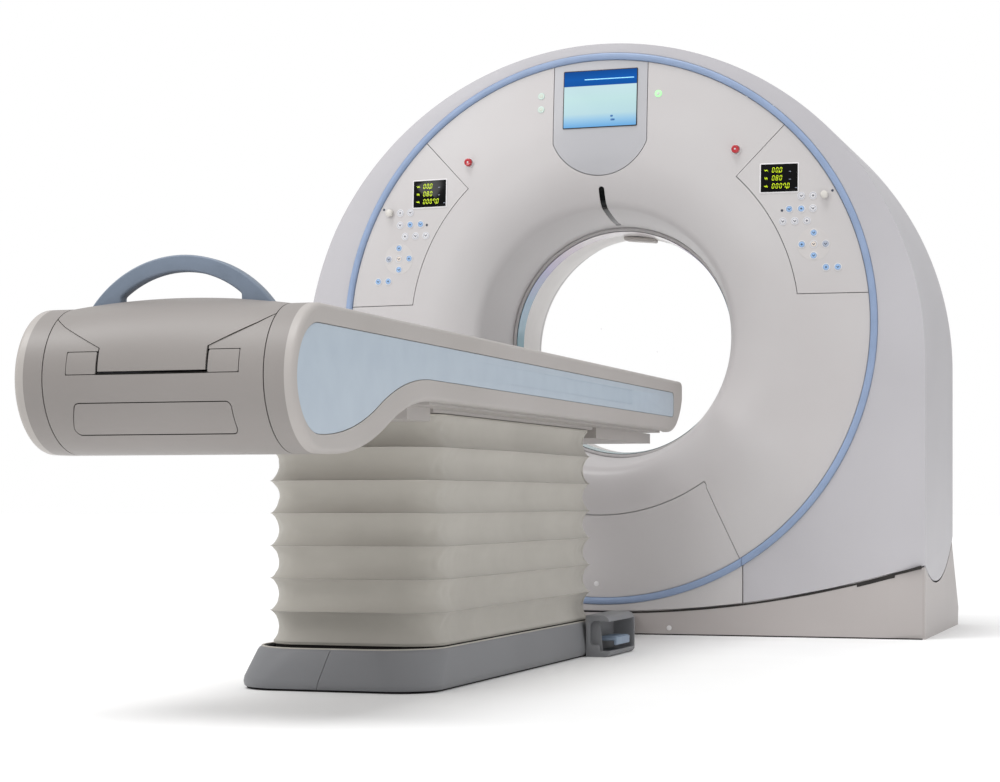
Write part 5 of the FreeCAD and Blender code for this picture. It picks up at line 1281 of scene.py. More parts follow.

# %% [markdown]
# A few quiet things finish the covers: a plastic cap over a screw on the lower cover and one on the
# apron, small dark screws along the side edges, and the black rubber lip in the gap that the gantry
# swings in, which widens near the corners; it is wide enough to also paint the shade in that gap. The lip
# follows the barrel-shaped underside 3 mm away. A dark strip along the apron's foot is a painted shadow
# where the base meets the floor.

# %% Caps, edge screws and the lip in the swing gap
cap = spin_stud("cap", [(0.5, -2.4), (6.5, -2.2), (8.6, -1.2), (9.0, 0.0), (9.0, 1.0)], 32)
hand_over(studs_at("cover_cap", cap, [(-15, 172)], frame_plastic), None, "gantry_body", "white_cover",
          crease=60)
apron_cap = twin(cap, "apron_cap")
apron_cap.data.transform(Matrix.Translation((0.240, -0.330, 0.024)))
hand_over(apron_cap, frame_plastic, "floor_base", "base_cover", crease=60)
drop(cap)


FLANK = 1101.6                 # where the screw heads sit, just inside the covers' own width


def side_screws(name, places, body, slot):
    """Small dark screw heads on both flanks, at each (y, z)."""
    screw = lathe("screw", [(0.4, -1.2, 0), (3.4, -1.2, 0), (4.6, -0.4, 0), (4.6, 1.0, 0), (0.4, 1.0, 0)],
                  20)
    points = [(side * FLANK, y, z) for side, _ in SIDES for y, z in places]
    leans = [(0, 0, side * math.pi / 2) for side, _ in SIDES for _ in places]
    heads = planted(name, screw, points, leans, ink_dark)
    drop(screw)
    hand_over(heads, None, body, slot)


side_screws("shroud_screws", [(-307, 437), (-307, 900), (440, 437), (440, 900)], "gantry_body",
            "shroud_cover")
side_screws("base_screws", [(-307, 134), (590, 37)], "floor_base", "base_cover")


def gap_lip_and_shade(name, start, end, near, far, front, back):
    """Dark rubber on the base along the barrel-shaped underside, from near to far outside it, wide enough to paint the
    gap's shade too.
    """
    depth = [front + (back - front) * j / 4 for j in range(5)]
    ribs = []
    for i in range(41):
        x = start + (end - start) * i / 40
        rows = [[(x, y, TILT_Z - math.sqrt((swing_radius(x) + r) ** 2 - y * y)) for y in depth]
                for r in (near, far)]
        ribs.append(rows[0] + rows[1][::-1])
    return hull(name, ribs)


lip = gap_lip_and_shade("swing_gap_lip", -1092, 1092, 3.0, 9.0, FRONT - 0.6, FRONT + 24)
wide = [gap_lip_and_shade("w", *sorted((side * 880, side * 1005)), 3.2, 16.0, FRONT - 0.9, FRONT + 12)
        for side, _ in SIDES]
hand_over(joined("swing_gap_lip", [lip] + wide), dark_rubber_and_shade, "floor_base", "base_cover")
# a dark strip along the apron's foot: painted shadow where it meets the floor
hand_over(rounded(box("apron_floor_seal", (-1096, FRONT - 0.8, 0), (1096, FRONT + 3, 4.2)), 0.3, 1),
          dark_rubber_and_shade,
          "floor_base", "base_cover")

# %% [markdown]
# The slim pod under the liner's top holds a positioning lamp. It is a soft pill of moulded plastic that
# follows the liner, so it is drawn flat, rounded over, and set just under the liner's face.

# %% Light pod and the cover between couch and gantry
pod = rounded(box("light_pod_case", (-57, 45, TILT_Z + 373.5), (57, 111, TILT_Z + 388)), 6.5, 5)
pod.data.transform(Matrix.Translation((0, 0, TILT_Z * MM)) @ Matrix.Rotation(math.radians(5.6), 4, "Y")
                   @ Matrix.Translation((0, 0, -TILT_Z * MM)))
hand_over(pod, pod_plastic, "gantry_body", "pod_grey", "light_pod", crease=60)
link = rounded(box("link_cover_shell", (-122, -1128, 0), (122, -338, 75)), 12, 4)
carve(link, "DIFFERENCE", box("under", (-117, -1123, -20), (117, -343, 70)))
hand_over(link, base_paint, "floor_base", "base_cover", "link_cover", crease=50)

# %% [markdown]
# The couch stands on a sprayed steel plinth with sloping sides. Its foot end has corners that open up
# towards the top, its lower edge is tucked in so that it throws a thin shadow on the floor, and its
# upper edge is turned over softly. A stack of outlines, like the ribs of a boat, gives all of that at
# once; the inside is the same stack, 4 mm in.

# %% Plinth
PLINTH_END = -1140.0


def plinth_rib(height, half, foot, bend, end):
    """One outline of the plinth, square at the gantry and round at its foot end."""
    points = [(half, end), (-half, end), *arc(-half + bend, foot + bend, bend, 180, 16),
              *arc(half - bend, foot + bend, bend, 270, 16)]
    return [(x, y, height) for x, y in points]


def plinth_stack(name, inset, levels, short=0.0):
    """The plinth's outlines at several levels, drawn in by an inset and cut short at the gantry."""
    return hull(name, [plinth_rib(z, half - inset, foot + inset, bend - inset, PLINTH_END - short)
                       for z, half, foot, bend in levels])


SKIRT = [(0, 243, -2776, 98), (2.5, 249, -2782, 100), (9, 254.4, -2788, 103), (18, 256, -2790, 105),
         (30, 255.4, -2788.8, 109), (92, 245.2, -2769.2, 156), (97, 243.6, -2766.4, 160),
         (100, 240.8, -2763.4, 162),
         (101, 237.5, -2760, 163)]
plinth = plinth_stack("couch_plinth_skirt", 0, SKIRT)
hollow = plinth_stack("hollow", 4,
                      [(z - 4 if z > 50 else z - 5, half, foot, bend) for z, half, foot, bend in SKIRT])
carve(hollow, "DIFFERENCE", box("end", (-400, PLINTH_END - 4, -50), (400, -900, 200)))


def at_top(low, high):
    """Two levels with the outline of the plinth's upper edge."""
    return [(z, 241.5, -2764, 163) for z in (low, high)]


seam_cut = slab("seam", [(-33.3, -5), (-31.9, -5), (-1.3, 99.5), (-2.7, 99.5)], -2900, -2700, "y")
carve(plinth, "DIFFERENCE", hollow, plinth_stack("well", 8, at_top(88, 130), 8), seam_cut)
rim = carve(plinth_stack("plinth_rim", 1.5, at_top(98, 103)), "DIFFERENCE",
            plinth_stack("in", 7.5, at_top(90, 110), 6))
hand_over(rounded(rim, 1.2, 2, 50), hem_cloth, "floor_base", "plinth_grey", crease=50)
# a dark sheet at the bottom of the plinth's well: painted shade in the recess
well = carve(plinth_stack("plinth_well", 8.5, at_top(86, 89), 9), "DIFFERENCE",
             box("opening", (-185, -2620, 50), (185, -1270, 130)))
hand_over(well, dark_rubber_and_shade, "floor_base", "plinth_grey")
# a dark strip round the plinth's foot: painted shadow where it meets the floor
shadow_strip = plinth_stack("plinth_floor_seal", -0.4, [(0, 244, -2777, 98), (2.4, 248.8, -2781.8, 100)])
hand_over(shadow_strip, dark_rubber_and_shade, "floor_base", "plinth_grey")
hand_over(plinth, plinth_paint, "floor_base", "plinth_grey", "couch_plinth", crease=40)

# %% [markdown]
# The pedal housings are open boxes of painted sheet: a back wall, a hood with a rounded shoulder, a tray
# below and a thin partition. The pedal lies between hood and tray, a ribbed rubber pad on a steel plate,
# and turns on a pin along its inner edge.

# %% Pedal housings and pedals
HOUSE_IN, HOUSE_OUT, HOUSE_FOOT, HOUSE_END = 257.0, 329.0, -1432.0, -1140.0
outside = [(HOUSE_IN, 0)] + bow((HOUSE_OUT - 14, 0), (HOUSE_OUT - 4, 4), (HOUSE_OUT, 14), 8)
outside += bow((HOUSE_OUT, 96), (HOUSE_OUT - 6, 114), (HOUSE_OUT - 22, 122), 12) + [(HOUSE_IN, 122)]
opening = [(400, 17), (400, 99)] + bow((HOUSE_IN + 30, 106), (HOUSE_IN + 15, 101), (HOUSE_IN + 10, 88), 8)
opening += bow((HOUSE_IN + 10, 46), (HOUSE_IN + 13, 38), (HOUSE_IN + 21, 35), 8)
opening += bow((HOUSE_IN + 30, 35), (HOUSE_IN + 36, 32), (HOUSE_IN + 38, 24), 6) + [(HOUSE_IN + 40, 17)]
house = slab("pedal_housing_right", outside, HOUSE_FOOT, HOUSE_END, "y")
carve(house, "DIFFERENCE", slab("side", opening, HOUSE_FOOT - 20, HOUSE_END - 8, "y"),
      box("under_pin", (HOUSE_IN + 8, HOUSE_FOOT + 34, 14), (HOUSE_IN + 60, HOUSE_END - 8, 96)))
rounded(house, 1.6, 2, 50)
guard = rounded(slab("guard", [(HOUSE_IN + 4, 12), (HOUSE_IN + 46, 12), (HOUSE_IN + 36, 108),
                               (HOUSE_IN + 4, 108)],
                     HOUSE_FOOT + 22, HOUSE_FOOT + 26, "y"), 1, 2)
house = joined("pedal_housing_right", [house, guard])
hand_over(mirrored(house, "pedal_housing_left"), plinth_paint, "floor_base", "plinth_grey",
          "pedal_housings")
hand_over(house, plinth_paint, "floor_base", "plinth_grey", "pedal_housings")
for side, word in SIDES:
    plate = rounded(box("plate", (270, -1360, 44), (332, -1210, 53)), 2.5, 3)
    ribs = [rounded(box("rib", (282, -1352 + 12 * i, 52), (328, -1345 + 12 * i, 56)), 1.4, 2)
            for i in range(12)]
    pin = spin_stud("pin", [(4, -87), (4, 87)], 24)
    pin.data.transform(Matrix.Translation((0.271, -1.285, 0.05)))
    lip = rounded(box("lip", (321, -1359, 31), (332, -1211, 50)), 3.5, 3)
    pedal = joined(f"pedal_pad_{word}", [plate, lip] + ribs + [pin])
    if side < 0:
        flip(pedal)
    hand_over(pedal, pedal_rubber, f"foot_pedal_{word}", "pedal_blue", f"pedal_{word}")

# %% [markdown]
# The couch's side covers carry the line that makes this scanner recognisable: a straight beam that runs
# down through an S into the round foot bulb. The outline is drawn from the same arcs as the plain
# solid, then stacked with growing insets so that its edge rolls over with a true 13 mm radius. The pale
# blue inlay lies in a recess of its own outline.

# %% Outlines of the couch side
COUCH, SIDE_IN, TOP, UNDER, HEAD = 312.0, 288.0, 857.0, 686.0, -432.0
DRUM_Y, DRUM_Z, DRUM_R, DRUM_HALF = -3556.0, 705.0, 152.0, 243.0


def s_bend(low, high, count=24):
    """Two equal arcs from a level start to a level end higher up."""
    turn = 2 * math.atan2(high[1] - low[1], high[0] - low[0])
    bend = math.hypot(high[1] - low[1], high[0] - low[0]) / 4 / math.sin(turn / 2)
    up = [(low[0] + bend * math.sin(turn * i / count), low[1] + bend - bend * math.cos(turn * i / count))
          for i in range(count + 1)]
    down = [(high[0] - bend * math.sin(turn * i / count),
             high[1] - bend + bend * math.cos(turn * i / count))
            for i in range(count + 1)]
    return up + down[::-1][1:]


def side_outline(inset):
    """A side cover in (y, z), drawn in by an inset: bar, S, and the round of the drum."""
    radius, low, top = DRUM_R - inset, UNDER + inset, TOP - inset
    points = bow((DRUM_Y, top), (DRUM_Y - radius, DRUM_Z), (DRUM_Y, DRUM_Z - radius), 64)
    points += s_bend((-3500.0, DRUM_Z - radius), (-2880.0, low))
    points += bow((-640.0, low), (-492.0 - 0.8 * inset, 722.0 + 0.5 * inset), (HEAD - inset, 797.0), 24)
    corner = 16 - 0.5 * inset
    return points + bow((HEAD - inset, top - corner), (HEAD - inset - 0.3 * corner, top - 0.3 * corner),
                        (HEAD - inset - corner, top), 6)


def inlay_outline(gap):
    """The pale blue inlay in (y, z), which follows the side cover's own line."""
    low, top, bulb, end, corner = 733.0 + gap, 815.0 - gap, 590.0 + gap, -560.0 - gap, 18.0
    radius = (top - bulb) / 2
    points = bow((-3585.0, top), (-3585.0 - radius, (top + bulb) / 2), (-3585.0, bulb), 48)
    points += s_bend((-3585.0, bulb), (-2915.0, low))[1:]
    points += bow((end - corner, low), (end - corner * 0.3, low + corner * 0.3), (end, low + corner), 8)
    return points + bow((end, top - corner), (end - corner * 0.3, top - corner * 0.3), (end - corner, top),
                        8)


print("side outline:", len(side_outline(0)), "points; inlay:", len(inlay_outline(0)))

# %% Side covers and inlays
EDGE = 13.0


def rolled(name, outline, back, front, radius, steps=6):
    """Push an outline along X with its front edge rolled over."""
    ribs = [(back, 0.0)] + [(front - radius + radius * math.sin(math.pi / 2 * i / steps),
                             radius * (1 - math.cos(math.pi / 2 * i / steps))) for i in range(steps + 1)]
    return hull(name, [[(x, y, z) for y, z in outline(inset)] for x, inset in ribs])


right = rolled("couch_side_right", side_outline, SIDE_IN, COUCH, EDGE)
carve(right, "DIFFERENCE", slab("recess", inlay_outline(0), COUCH - 5, COUCH + 5, "x"))
hand_over(mirrored(right, "couch_side_left"), couch_paint, "couch_top", "couch_beige", "side_cover_left",
          crease=40)
hand_over(right, couch_paint, "couch_top", "couch_beige", "side_cover_right", crease=40)
inlay = rolled("side_inlay_right", lambda inset: inlay_outline(1.2 + inset), COUCH - 5, COUCH - 0.8, 1.2, 3)
# a shallow channel runs along the bar and fades out towards the foot
fade = [(COUCH - 0.7, -2720), (COUCH - 3.6, -1100), (COUCH + 2, -1092), (COUCH + 2, -2720)]
carve(inlay, "DIFFERENCE", slab("channel", fade, 753, 796, "z"))
hand_over(mirrored(inlay, "side_inlay_left"), inlay_film, "couch_top", "inlay_blue", "side_inlays",
          crease=40)
hand_over(inlay, inlay_film, "couch_top", "inlay_blue", "side_inlays", crease=40)

# %% [markdown]
# The foot end is a drum made of four mouldings: a lower shell, a cap at either side, and the tabletop's
# own end cover, which slides away with the table. The end cover's front is a trapezoid, because its
# sides follow the channel that the table slides in, and its middle is crowned by 17 mm. Where two
# mouldings meet they have a 3 mm gap, with a dark sheet behind that paints the shade of the drum's inside.
# The caps take the drum's darker grey as painted shade.

# %% Foot drum
def channel(gap):
    """Section of the way the tabletop's end cover slides along, as wide again by a gap."""
    half = [(119 + gap, 717 - gap), (119 + gap, 765), (214 + gap, 812), (243 + gap, 830), (243 + gap, 1000)]
    return half + [(-x, z) for x, z in half[::-1]]


def drum_skin(gap, wall, *more):
    """Section of the drum's skin, from the top round the foot end to the bottom and on."""
    line = walk((DRUM_Y, DRUM_Z + DRUM_R + gap), 180, [(DRUM_R + gap, 180)])
    line += list(more)
    return line + beside(line, wall)[::-1]


def softened(corners, radius, count=8):
    """A polygon with every corner rounded."""
    points = []
    for i, (x, z) in enumerate(corners):
        back = Vector(corners[i - 1]) - Vector((x, z))
        ahead = Vector(corners[(i + 1) % len(corners)]) - Vector((x, z))
        half = back.angle(ahead) / 2
        reach = radius / math.tan(half)
        start, end = (Vector((x, z)) + leg.normalized() * reach for leg in (back, ahead))
        lean = (back.normalized() + ahead.normalized()).normalized()
        middle = Vector((x, z)) + lean * (radius / math.sin(half) - radius)
        points += bow(tuple(start), tuple(middle), tuple(end), count)
    return points


def round_plate(inset):
    """Outline of the service panel in XZ, wider below than above at its left end."""
    return softened([(-197 + inset, 590 + inset), (171 - inset, 590 + inset), (171 - inset, 655 - inset),
                     (-176 + inset, 655 - inset)], 13 - inset)


lower = drum_skin(0, WALL, *s_bend((-3500.0, DRUM_Z - DRUM_R), (-2880.0, UNDER + 2)))
shell = slab("foot_shell", lower, -DRUM_HALF, DRUM_HALF, "x")
lid_gaps = [box("lid_gap", (near, -3800, 710.4), (far, -3600, 758.6)) for near,
            far in ((121, 191.6), (-191.6, -121))]
carve(shell, "DIFFERENCE", slab("path", channel(3.4), -3800, -3400, "y"),
      slab("hatch", round_plate(0), -3800, -3600, "y"),
      box("flap_gap", (-122.4, -3800, 710), (122.4, -3600, 720)), *lid_gaps)
hand_over(shell, drum_grey_and_cap_shade, "couch_top", "drum_grey", "foot_cover", crease=40)
# a dark sheet behind the drum's gaps: painted shade of the drum's inside
shade_backing = slab("drum_backing", drum_skin(-7, 1.5), -DRUM_HALF + 2, DRUM_HALF - 2, "x")
carve(shade_backing, "DIFFERENCE", slab("path", channel(3.4), -3800, -3400, "y"))
hand_over(shade_backing, dark_rubber_and_shade, "couch_top", "drum_grey")
hatch = slab("service_hatch", drum_skin(-0.3, WALL - 0.6), -210, 200, "x")
carve(hatch, "INTERSECT", slab("cut", round_plate(2.0), -3800, -3600, "y"))
hand_over(hatch, drum_grey_and_cap_shade, "couch_top", "drum_grey", "service_panel", crease=40)
for side, word in SIDES:
    lid = slab(f"latch_lid_{word}", drum_skin(0.3, 4.0), 120, 200, "x")
    carve(lid, "INTERSECT", rounded(box("cut", (124, -3800, 712), (190, -3600, 757)), 3, 3))
    cap = [(y, z) for y, z in side_outline(0.0) if y < -3499]
    cap += [(-3470.0, DRUM_Z - DRUM_R + 12), (-3470.0, DRUM_Z + DRUM_R)]
    end = slab(f"foot_cap_{word}", cap, DRUM_HALF + 2.4, SIDE_IN, "x")
    wing = slab(f"foot_shell_wing_{word}", lower, DRUM_HALF, SIDE_IN - 1, "x")
    carve(wing, "INTERSECT", box("behind_cap", (0, -3469, 300), (400, -2700, 712)))
    if side < 0:
        for piece in (lid, end, wing):
            flip(piece)
    hand_over(lid, drum_grey_and_cap_shade, "couch_top", "drum_grey", "latch_panels", crease=40)
    # the caps are beige like the side covers; the drum's darker grey on them is painted shade
    hand_over(end, drum_grey_and_cap_shade, "couch_top", "couch_beige", "foot_caps", crease=40)
    hand_over(wing, drum_grey_and_cap_shade, "couch_top", "drum_grey", crease=40)

# %% Crowned end cover, handle and tabletop
CRADLE_FOOT, CRADLE_HEAD, CROWN = -3482.0, -446.0, 17.0


def crowned(name, inset):
    """Upper half of the drum as a solid, higher in the middle than at its sides."""
    ribs = []
    for step in range(-20, 21):
        x = DRUM_HALF * step / 20
        rise = DRUM_R + CROWN * (1 - (step / 20) ** 2) - inset
        deep = DRUM_R - inset
        turns = [math.pi / 2 * i / 32 for i in range(33)]
        rib = [(x, DRUM_Y - deep * math.cos(a), DRUM_Z + rise * math.sin(a)) for a in turns]
        ribs.append([(x, CRADLE_FOOT - SEAM, DRUM_Z)] + rib + [(x, CRADLE_FOOT - SEAM, DRUM_Z + rise)])
    return hull(name, ribs)


cover = carve(crowned("tabletop_end_shell", 0), "DIFFERENCE", crowned("inner", WALL))
carve(cover, "INTERSECT", slab("path", channel(0), -3800, -3400, "y"))
hand_over(cover, drum_grey_and_cap_shade, "tabletop", "drum_grey", "tabletop_end_cover", crease=40)

arch = bow((-210, TOP - 6), (-130, 926), (0, 962), 28)
arch += [(-x, z) for x, z in arch[::-1][1:]]
under = bow((136, 879), (0, 928), (-136, 879), 40)
grip = slab("handle_arch", arch + [(136, TOP - 6)] + under + [(-136, TOP - 6)], -3575, -3545, "y")
rounded(grip, 8.5, 5, 40)
hand_over(grip, handle_plastic, "tabletop", "handle_blue", "tabletop_handle", crease=60)

top_line = bow((-215, 862), (0, 838), (215, 862), 48)
low_line = bow((215, 849), (0, 812), (-215, 849), 48)
board = slab("cradle_board", top_line + low_line, CRADLE_FOOT, CRADLE_HEAD, "y")
nose = [(-215, CRADLE_FOOT - 5), (215, CRADLE_FOOT - 5), *arc(145, CRADLE_HEAD - 70, 70, 0, 12),
        *arc(-145, CRADLE_HEAD - 70, 70, 90, 12)]
carve(board, "INTERSECT", slab("nose", nose, 700, 900, "z"))
hand_over(rounded(board, 2.5, 2, 50), carbon, "tabletop", "table_carbon", "tabletop_cradle", crease=40)

# %% [markdown]
# The lift cover is a bellows of coated cloth: one tube, folded so that the ridges are sharp and the
# bays between them fall inwards in a hollow. The folds could be drawn as a stack of rings, but a real
# bellows gets its look from what is not regular: the cloth puckers at the corners, where it has to be
# gathered, and a ridge is never quite level. Geometry Nodes is made for this, since the shape follows
# one rule along a path. A rounded rectangle is the rail; a flat grid is wrapped on it; each point is
# then drawn inwards by the fold's depth at its height, and moved a little by noise that grows at the
# corners. Ridges get extra rows, so that they stay crisp. The tree also stores how far round and how
# high on the cloth each point lies, for the weave in its material.

# %% The pleated sleeve's tree
def sleeve_tree():
    """A tube of cloth folded round a rail, with a hem at either end."""
    tree, names, given = new_tree("pleated_sleeve", {
        "Width": 0.47, "Length": 1.458, "Corner": 0.1, "Low": 0.105, "Tall": 0.564, "Depth": 0.022,
        "Bays": 7.0, "Hem": 0.55, "Pucker": 0.004, "Seed": 3.0, "Material": "Material"})

    def sums(how, *values):
        return calc(tree, how, *values)

    def product(one, other):
        return calc(tree, "MULTIPLY", one, other)

    frame_curve = add(tree, "GeometryNodeCurvePrimitiveQuadrilateral", Width=given["Width"],
                      Height=given["Length"]).outputs["Curve"]
    round_rail = add(tree, "GeometryNodeFilletCurve", settings={"mode": "POLY"}, Curve=frame_curve,
                     Count=24,
                     Limit_Radius=False, Radius=given["Corner"]).outputs["Curve"]
    around = add(tree, "GeometryNodeCurveLength", Curve=round_rail).outputs["Length"]

    cloth = add(tree, "GeometryNodeMeshGrid", Size_X=1.0, Size_Y=1.0, Vertices_X=361,
                Vertices_Y=141).outputs
    flat = add(tree, "ShaderNodeSeparateXYZ", cloth["UV Map"]).outputs
    fold = product(flat["Y"], given["Bays"])
    swing = sums("SINE", product(fold, math.tau))
    phase = sums("SUBTRACT", fold, product(swing, 0.8 / math.tau))
    rise = sums("DIVIDE", phase, given["Bays"])

    rail = add(tree, "GeometryNodeSampleCurve", settings={"use_all_curves": True}, Curves=round_rail,
               Factor=flat["X"]).outputs
    side = vector_calc(tree, "CROSS_PRODUCT", rail["Tangent"], (0, 0, 1))["Vector"]
    facing = vector_calc(tree, "DOT_PRODUCT", side, rail["Position"])["Value"]
    outward = vector_calc(tree, "SCALE", side, Scale=sums("SIGN", facing))["Vector"]

    hollow = sums("POWER", sums("ABSOLUTE", sums("SINE", product(phase, math.pi))), 0.62)
    from_end = sums("MINIMUM", rise, sums("SUBTRACT", 1.0, rise))
    edge = sums("SUBTRACT", 1.0, sums("MINIMUM", product(from_end, 40.0), 1.0))
    inset = product(sums("MAXIMUM", hollow, product(given["Hem"], edge)), given["Depth"])

    lie = add(tree, "ShaderNodeCombineXYZ", product(flat["X"], around),
              product(rise, given["Tall"])).outputs["Vector"]
    near = add(tree, "ShaderNodeSeparateXYZ", rail["Position"]).outputs
    to_side = sums("DIVIDE", sums("ABSOLUTE", near["X"]), product(given["Width"], 0.5))
    past = sums("SUBTRACT", product(given["Length"], 0.5), 0.24)
    to_end = sums("SUBTRACT", sums("ABSOLUTE", near["Y"]), past)
    corner = product(sums("POWER", sums("MINIMUM", to_side, 1.0), 4.0),
                     sums("MINIMUM", sums("MAXIMUM", sums("DIVIDE", to_end, 0.2), 0.0), 1.0))

    def wander(scale, detail):
        """Noise over the cloth, about nought, with the seed as its fourth dimension."""
        cloud = add(tree, "ShaderNodeTexNoise", settings={"noise_dimensions": "4D"}, Vector=lie,
                    W=given["Seed"],
                    Scale=scale, Detail=detail)
        return sums("SUBTRACT", cloud.outputs["Fac"], 0.5)

    gather = product(wander(17.0, 3.0), product(given["Pucker"], sums("MULTIPLY_ADD", corner, 7.0, 0.7)))
    settle_in = product(sums("POWER", hollow, 0.5), sums("ABSOLUTE", gather))
    level = product(wander(3.2, 1.0),
                    product(sums("MINIMUM", product(from_end, 8.0), 1.0), given["Pucker"]))

    out = vector_calc(tree, "SCALE", outward, Scale=product(sums("ADD", inset, settle_in), -1.0))["Vector"]
    height = sums("ADD", sums("ADD", given["Low"], product(rise, given["Tall"])), level)
    up = add(tree, "ShaderNodeCombineXYZ", Z=height).outputs["Vector"]
    drawn = vector_calc(tree, "ADD", rail["Position"], out)["Vector"]
    placed = vector_calc(tree, "ADD", drawn, up)["Vector"]
    keep = add(tree, "GeometryNodeStoreNamedAttribute",
               settings={"data_type": "FLOAT_VECTOR", "domain": "POINT"},
               Name="cloth", Geometry=cloth["Mesh"], Value=lie).outputs["Geometry"]
    wrapped = add(tree, "GeometryNodeSetPosition", Geometry=keep, Position=placed).outputs["Geometry"]
    closed = add(tree, "GeometryNodeMergeByDistance", Geometry=wrapped, Distance=0.0001)
    close_tree(tree, given, closed.outputs["Geometry"])
    return tree, names


SLEEVE = sleeve_tree()
print("sleeve inputs:", sorted(SLEEVE[1]))

# %% [markdown]
# The grid's seam is merged first, then the faces are turned outwards, and only then does the cloth get
# its 1.4 mm of thickness, inwards. The result stands for a soft solid: as the couch is lowered it
# flattens towards its lower hem.

# %% Bellows
BELLOWS_HALF, BELLOWS_FOOT, BELLOWS_END = 235.0, -2675.0, -1217.0
sleeve = grown("bellows_cloth_sleeve", [(0, 0, 0)], {}, SLEEVE,
               {"Width": 2 * BELLOWS_HALF * MM, "Length": (BELLOWS_END - BELLOWS_FOOT) * MM,
                "Corner": 100 * MM,
                "Low": 105 * MM, "Tall": 564 * MM, "Depth": 22 * MM, "Bays": 7.0, "Hem": 0.55,
                "Pucker": 5 * MM,
                "Seed": 3.0, "Material": bellows_cloth})
sleeve.data.transform(Matrix.Translation((0, (BELLOWS_FOOT + BELLOWS_END) / 2 * MM, 0)))
turned = bmesh.new()
turned.from_mesh(sleeve.data)
bmesh.ops.recalc_face_normals(turned, faces=turned.faces)
middle = Vector((0, (BELLOWS_FOOT + BELLOWS_END) / 2 * MM, 0.4))
if sum((f.calc_center_median() - middle).dot(f.normal) * f.calc_area() for f in turned.faces) < 0:
    bmesh.ops.reverse_faces(turned, faces=turned.faces)
print("open edges left:", sum(e.is_boundary for e in turned.edges), "both hems only")
turned.to_mesh(sleeve.data)
turned.free()
step = sleeve.modifiers.new("cloth", "SOLIDIFY")
step.thickness = 1.4 * MM
step.offset = -1.0
settle(sleeve)
hand_over(sleeve, None, "floor_base", "bellows_cloth", "bellows", crease=75)
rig.squash(sleeve, "couch_lift", axis=(0, 0, 1), anchor=(0, 0, 0.105), keep=0.149)

# %% [markdown]
# Both hems are welded to a stiff frame, the lower one standing over a recess in the plinth whose shade is
# painted by a dark ring and sheet, so the bellows seems to float there by a few millimetres. The upper one
# goes down with the cloth's top.

# %% Hem frames
def hem_rib(inset, height):
    """The bellows' round-cornered outline, drawn in by an inset, at a height."""
    half, low, high = BELLOWS_HALF - inset, BELLOWS_FOOT + inset, BELLOWS_END - inset
    bend = 100 - inset
    corners = ((half - bend, low + bend, -90), (half - bend, high - bend, 0),
               (-half + bend, high - bend, 90), (-half + bend, low + bend, 180))
    return [(x, y, height) for cx, cy, start in corners for x, y in arc(cx, cy, bend, start, 12)]


def hem_frame(name, low, high, inset, deep, material):
    """A ring between two heights, inset from the cloth's crests and so deep."""
    ring = carve(hull(name, [hem_rib(inset, z) for z in (low, high)]), "DIFFERENCE",
                 hull("inner", [hem_rib(inset + deep, z) for z in (low - 5, high + 5)]))
    return hand_over(rounded(ring, 0.8, 2, 50), material, "floor_base", "bellows_cloth")


# a dark ring under the lower hem: painted shade in the plinth's recess
hem_frame("bellows_recess", 88, 104.5, 16, 18, dark_rubber_and_shade)
hem_frame("bellows_hem_low", 104, 109, 9.5, 14, hem_cloth)
high = hem_frame("bellows_hem_high", 664, 669, 9.5, 14, hem_cloth)
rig.squash(high, "couch_lift", axis=(0, 0, 1), anchor=(0, 0, 0.105), keep=0.149)

# %% [markdown]
# What stands inside the covers, and the plain faces of the base, come straight from the CAD solids: they
# are machined, cast or folded parts whose drawn shape is their real shape, so only their finish is
# missing. Each gets the finish its maker would give it: powder coat on welded steel, a ground face on
# bearings, milled aluminium on the rotor plate, plated steel on drives, a light coat on the tube's
# housing and a dark one on the counterweight, arms and high-voltage units.

# %% Finishes for the carried-over solids
tube_coat = powder_coat("powder_coat_tube_light", "#c3c6ca", "#bbbec2")
drive_metal = bare_metal("steel_plated_drive", "#aeb0b4", 0.36, (8.0, 1.0, 1.0))
cable_black = moulded("moulded_black_housing", "#3a3c40", "#333539", 0.5, 2.0, 0.2)

NODE_FINISH = {
    frame_powder: ["gantry_base_frame", "tilt_stands", "tilt_frame", "couch_base_plate", "couch_frame"],
    dark_powder: ["counterweight", "scissor_arm_lower", "scissor_arm_upper", "high_voltage_units"],
    turned_steel: ["main_bearing", "slip_ring"],
    milled_aluminium: ["rotor", "detector", "tabletop_carriage", "collimator"],
    tube_coat: ["x_ray_tube", "tube_cooler"],
    drive_metal: ["tilt_drive", "lift_drive"],
    cable_black: ["brush_block"],
    couch_paint: ["frame_pan"],
    base_paint: ["base_apron", "base_side_cover_left", "base_side_cover_right", "base_rear_cover"],
}
for coat, names in NODE_FINISH.items():
    for name in names:
        node = frame["nodes"][name]
        node.data.materials.clear()
        node.data.materials.append(coat)
        node.data.shade_smooth()
        node.data.set_sharp_from_angle(angle=math.radians(32))
dressed = {name for names in NODE_FINISH.values() for name in names}
print("solids still to finish:",
      [n for n, o in frame["nodes"].items() if not o.hide_render and n not in dressed])

# %% [markdown]
# The photo was taken in a bright cove, cut out and set on white. The floor is a wide pale sheet that
# meets no wall. The world is a white room, darker below than above and a little lighter on the right;
# the camera alone sees it as plain white. Two lights do the drawing: a broad soft ceiling, and a disc
# at the front left that fills the flare's hollow with a slow shadow.

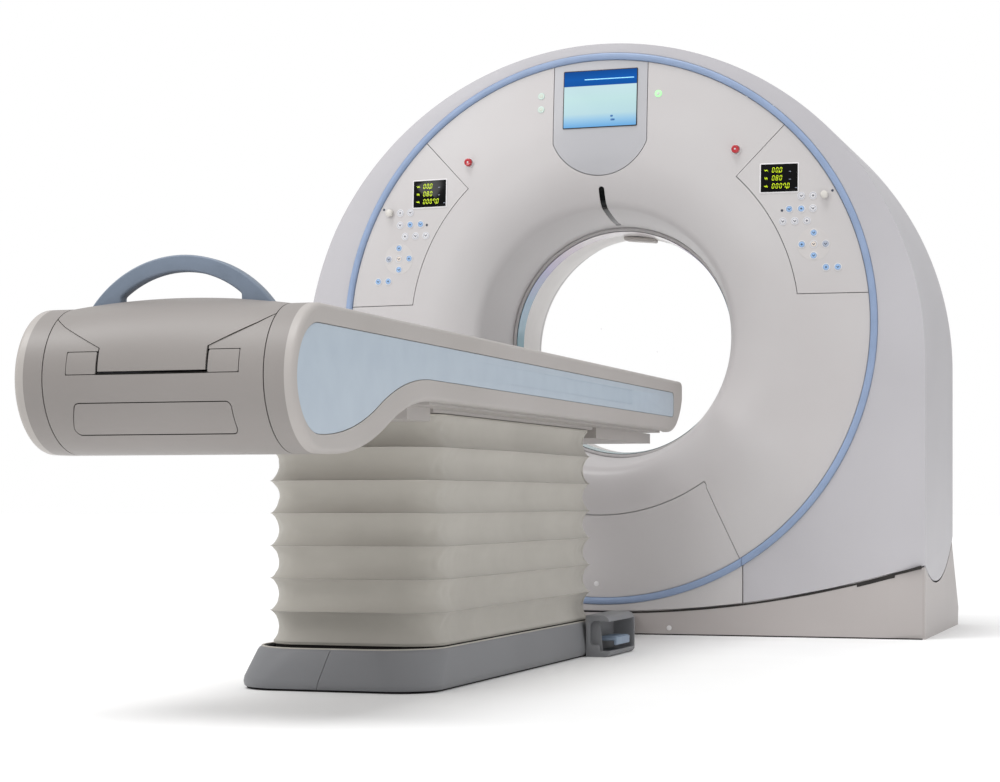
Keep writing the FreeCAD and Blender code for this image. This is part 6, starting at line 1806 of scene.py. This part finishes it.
# %% Floor and light
sheet = piece_of("studio_floor",
                 [(-40000, -40000, 0), (40000, -40000, 0), (40000, 60000, 0), (-40000, 60000, 0)],
                 [(0, 1, 2, 3)])
pale, tree, shader = finish("studio_floor_pale", Roughness=0.7)
feed(tree, shader, Base_Color=tint(tree, noise(tree, spot(tree), 2.0, 3.0), (0.3, "#f8f8f8"),
                                   (0.7, "#fcfcfc")))
sheet.data.materials.append(pale)
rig.stage(sheet)

STUDIO.view_settings.view_transform = "Standard"
world = bpy.data.worlds.new("studio")
world.use_nodes = True
cove = world.node_tree
seen = add(cove, "ShaderNodeLightPath").outputs["Is Camera Ray"]
way = add(cove, "ShaderNodeSeparateXYZ", add(cove, "ShaderNodeTexCoord").outputs["Generated"]).outputs
fill = calc(cove, "MULTIPLY", ranged(cove, way["Z"], 0.36, 0.88, -0.3, 0.9),
            ranged(cove, way["X"], 0.9, 1.04, -1.0, 1.0))
cove.nodes["Background"].inputs["Color"].default_value = (1, 1, 1, 1)
cove.links.new(calc(cove, "MAXIMUM", fill, seen), cove.nodes["Background"].inputs["Strength"])
STUDIO.world = world


def lamp_of(name, kind, power, turn, place=(0, 0, 0), **settings):
    """A light in the studio, turned so that it shines along its own -Z."""
    light = bpy.data.lights.new(name, kind)
    light.energy = power
    for key, value in settings.items():
        setattr(light, key, value)
    lamp = bpy.data.objects.new(name, light)
    lamp.location = place
    lamp.rotation_euler = turn.to_euler()
    STUDIO.collection.objects.link(lamp)


CEILING_FROM, FRONT_AT, FRONT_TO = Vector((-0.12, -0.3, 0.9)), Vector((-2.4, -4.6, 3.6)), Vector((0.1, -0.3,
                                                                                                  1.6))
lamp_of("ceiling", "SUN", 1.4, CEILING_FROM.to_track_quat("Z", "Y"), angle=math.radians(32))
lamp_of("front_left", "AREA", 50, (FRONT_TO - FRONT_AT).to_track_quat("-Z", "Y"), FRONT_AT, shape="DISK",
        size=1.8)
print("lamps:", [o.name for o in STUDIO.objects if o.type == "LIGHT"])

# %% [markdown]
# Last, the sizes are written down: the box of the plain solids as they were loaded and the box of the
# finished pieces, which has to lie inside it.

# %% Sizes and end
with open("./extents.json", "w") as out:
    json.dump({"cad": [list(map(float, p)) for p in CAD_BOX],
               "visual": [list(map(float, p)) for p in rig.bounds()]}, out)
print("sizes:", open("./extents.json").read())
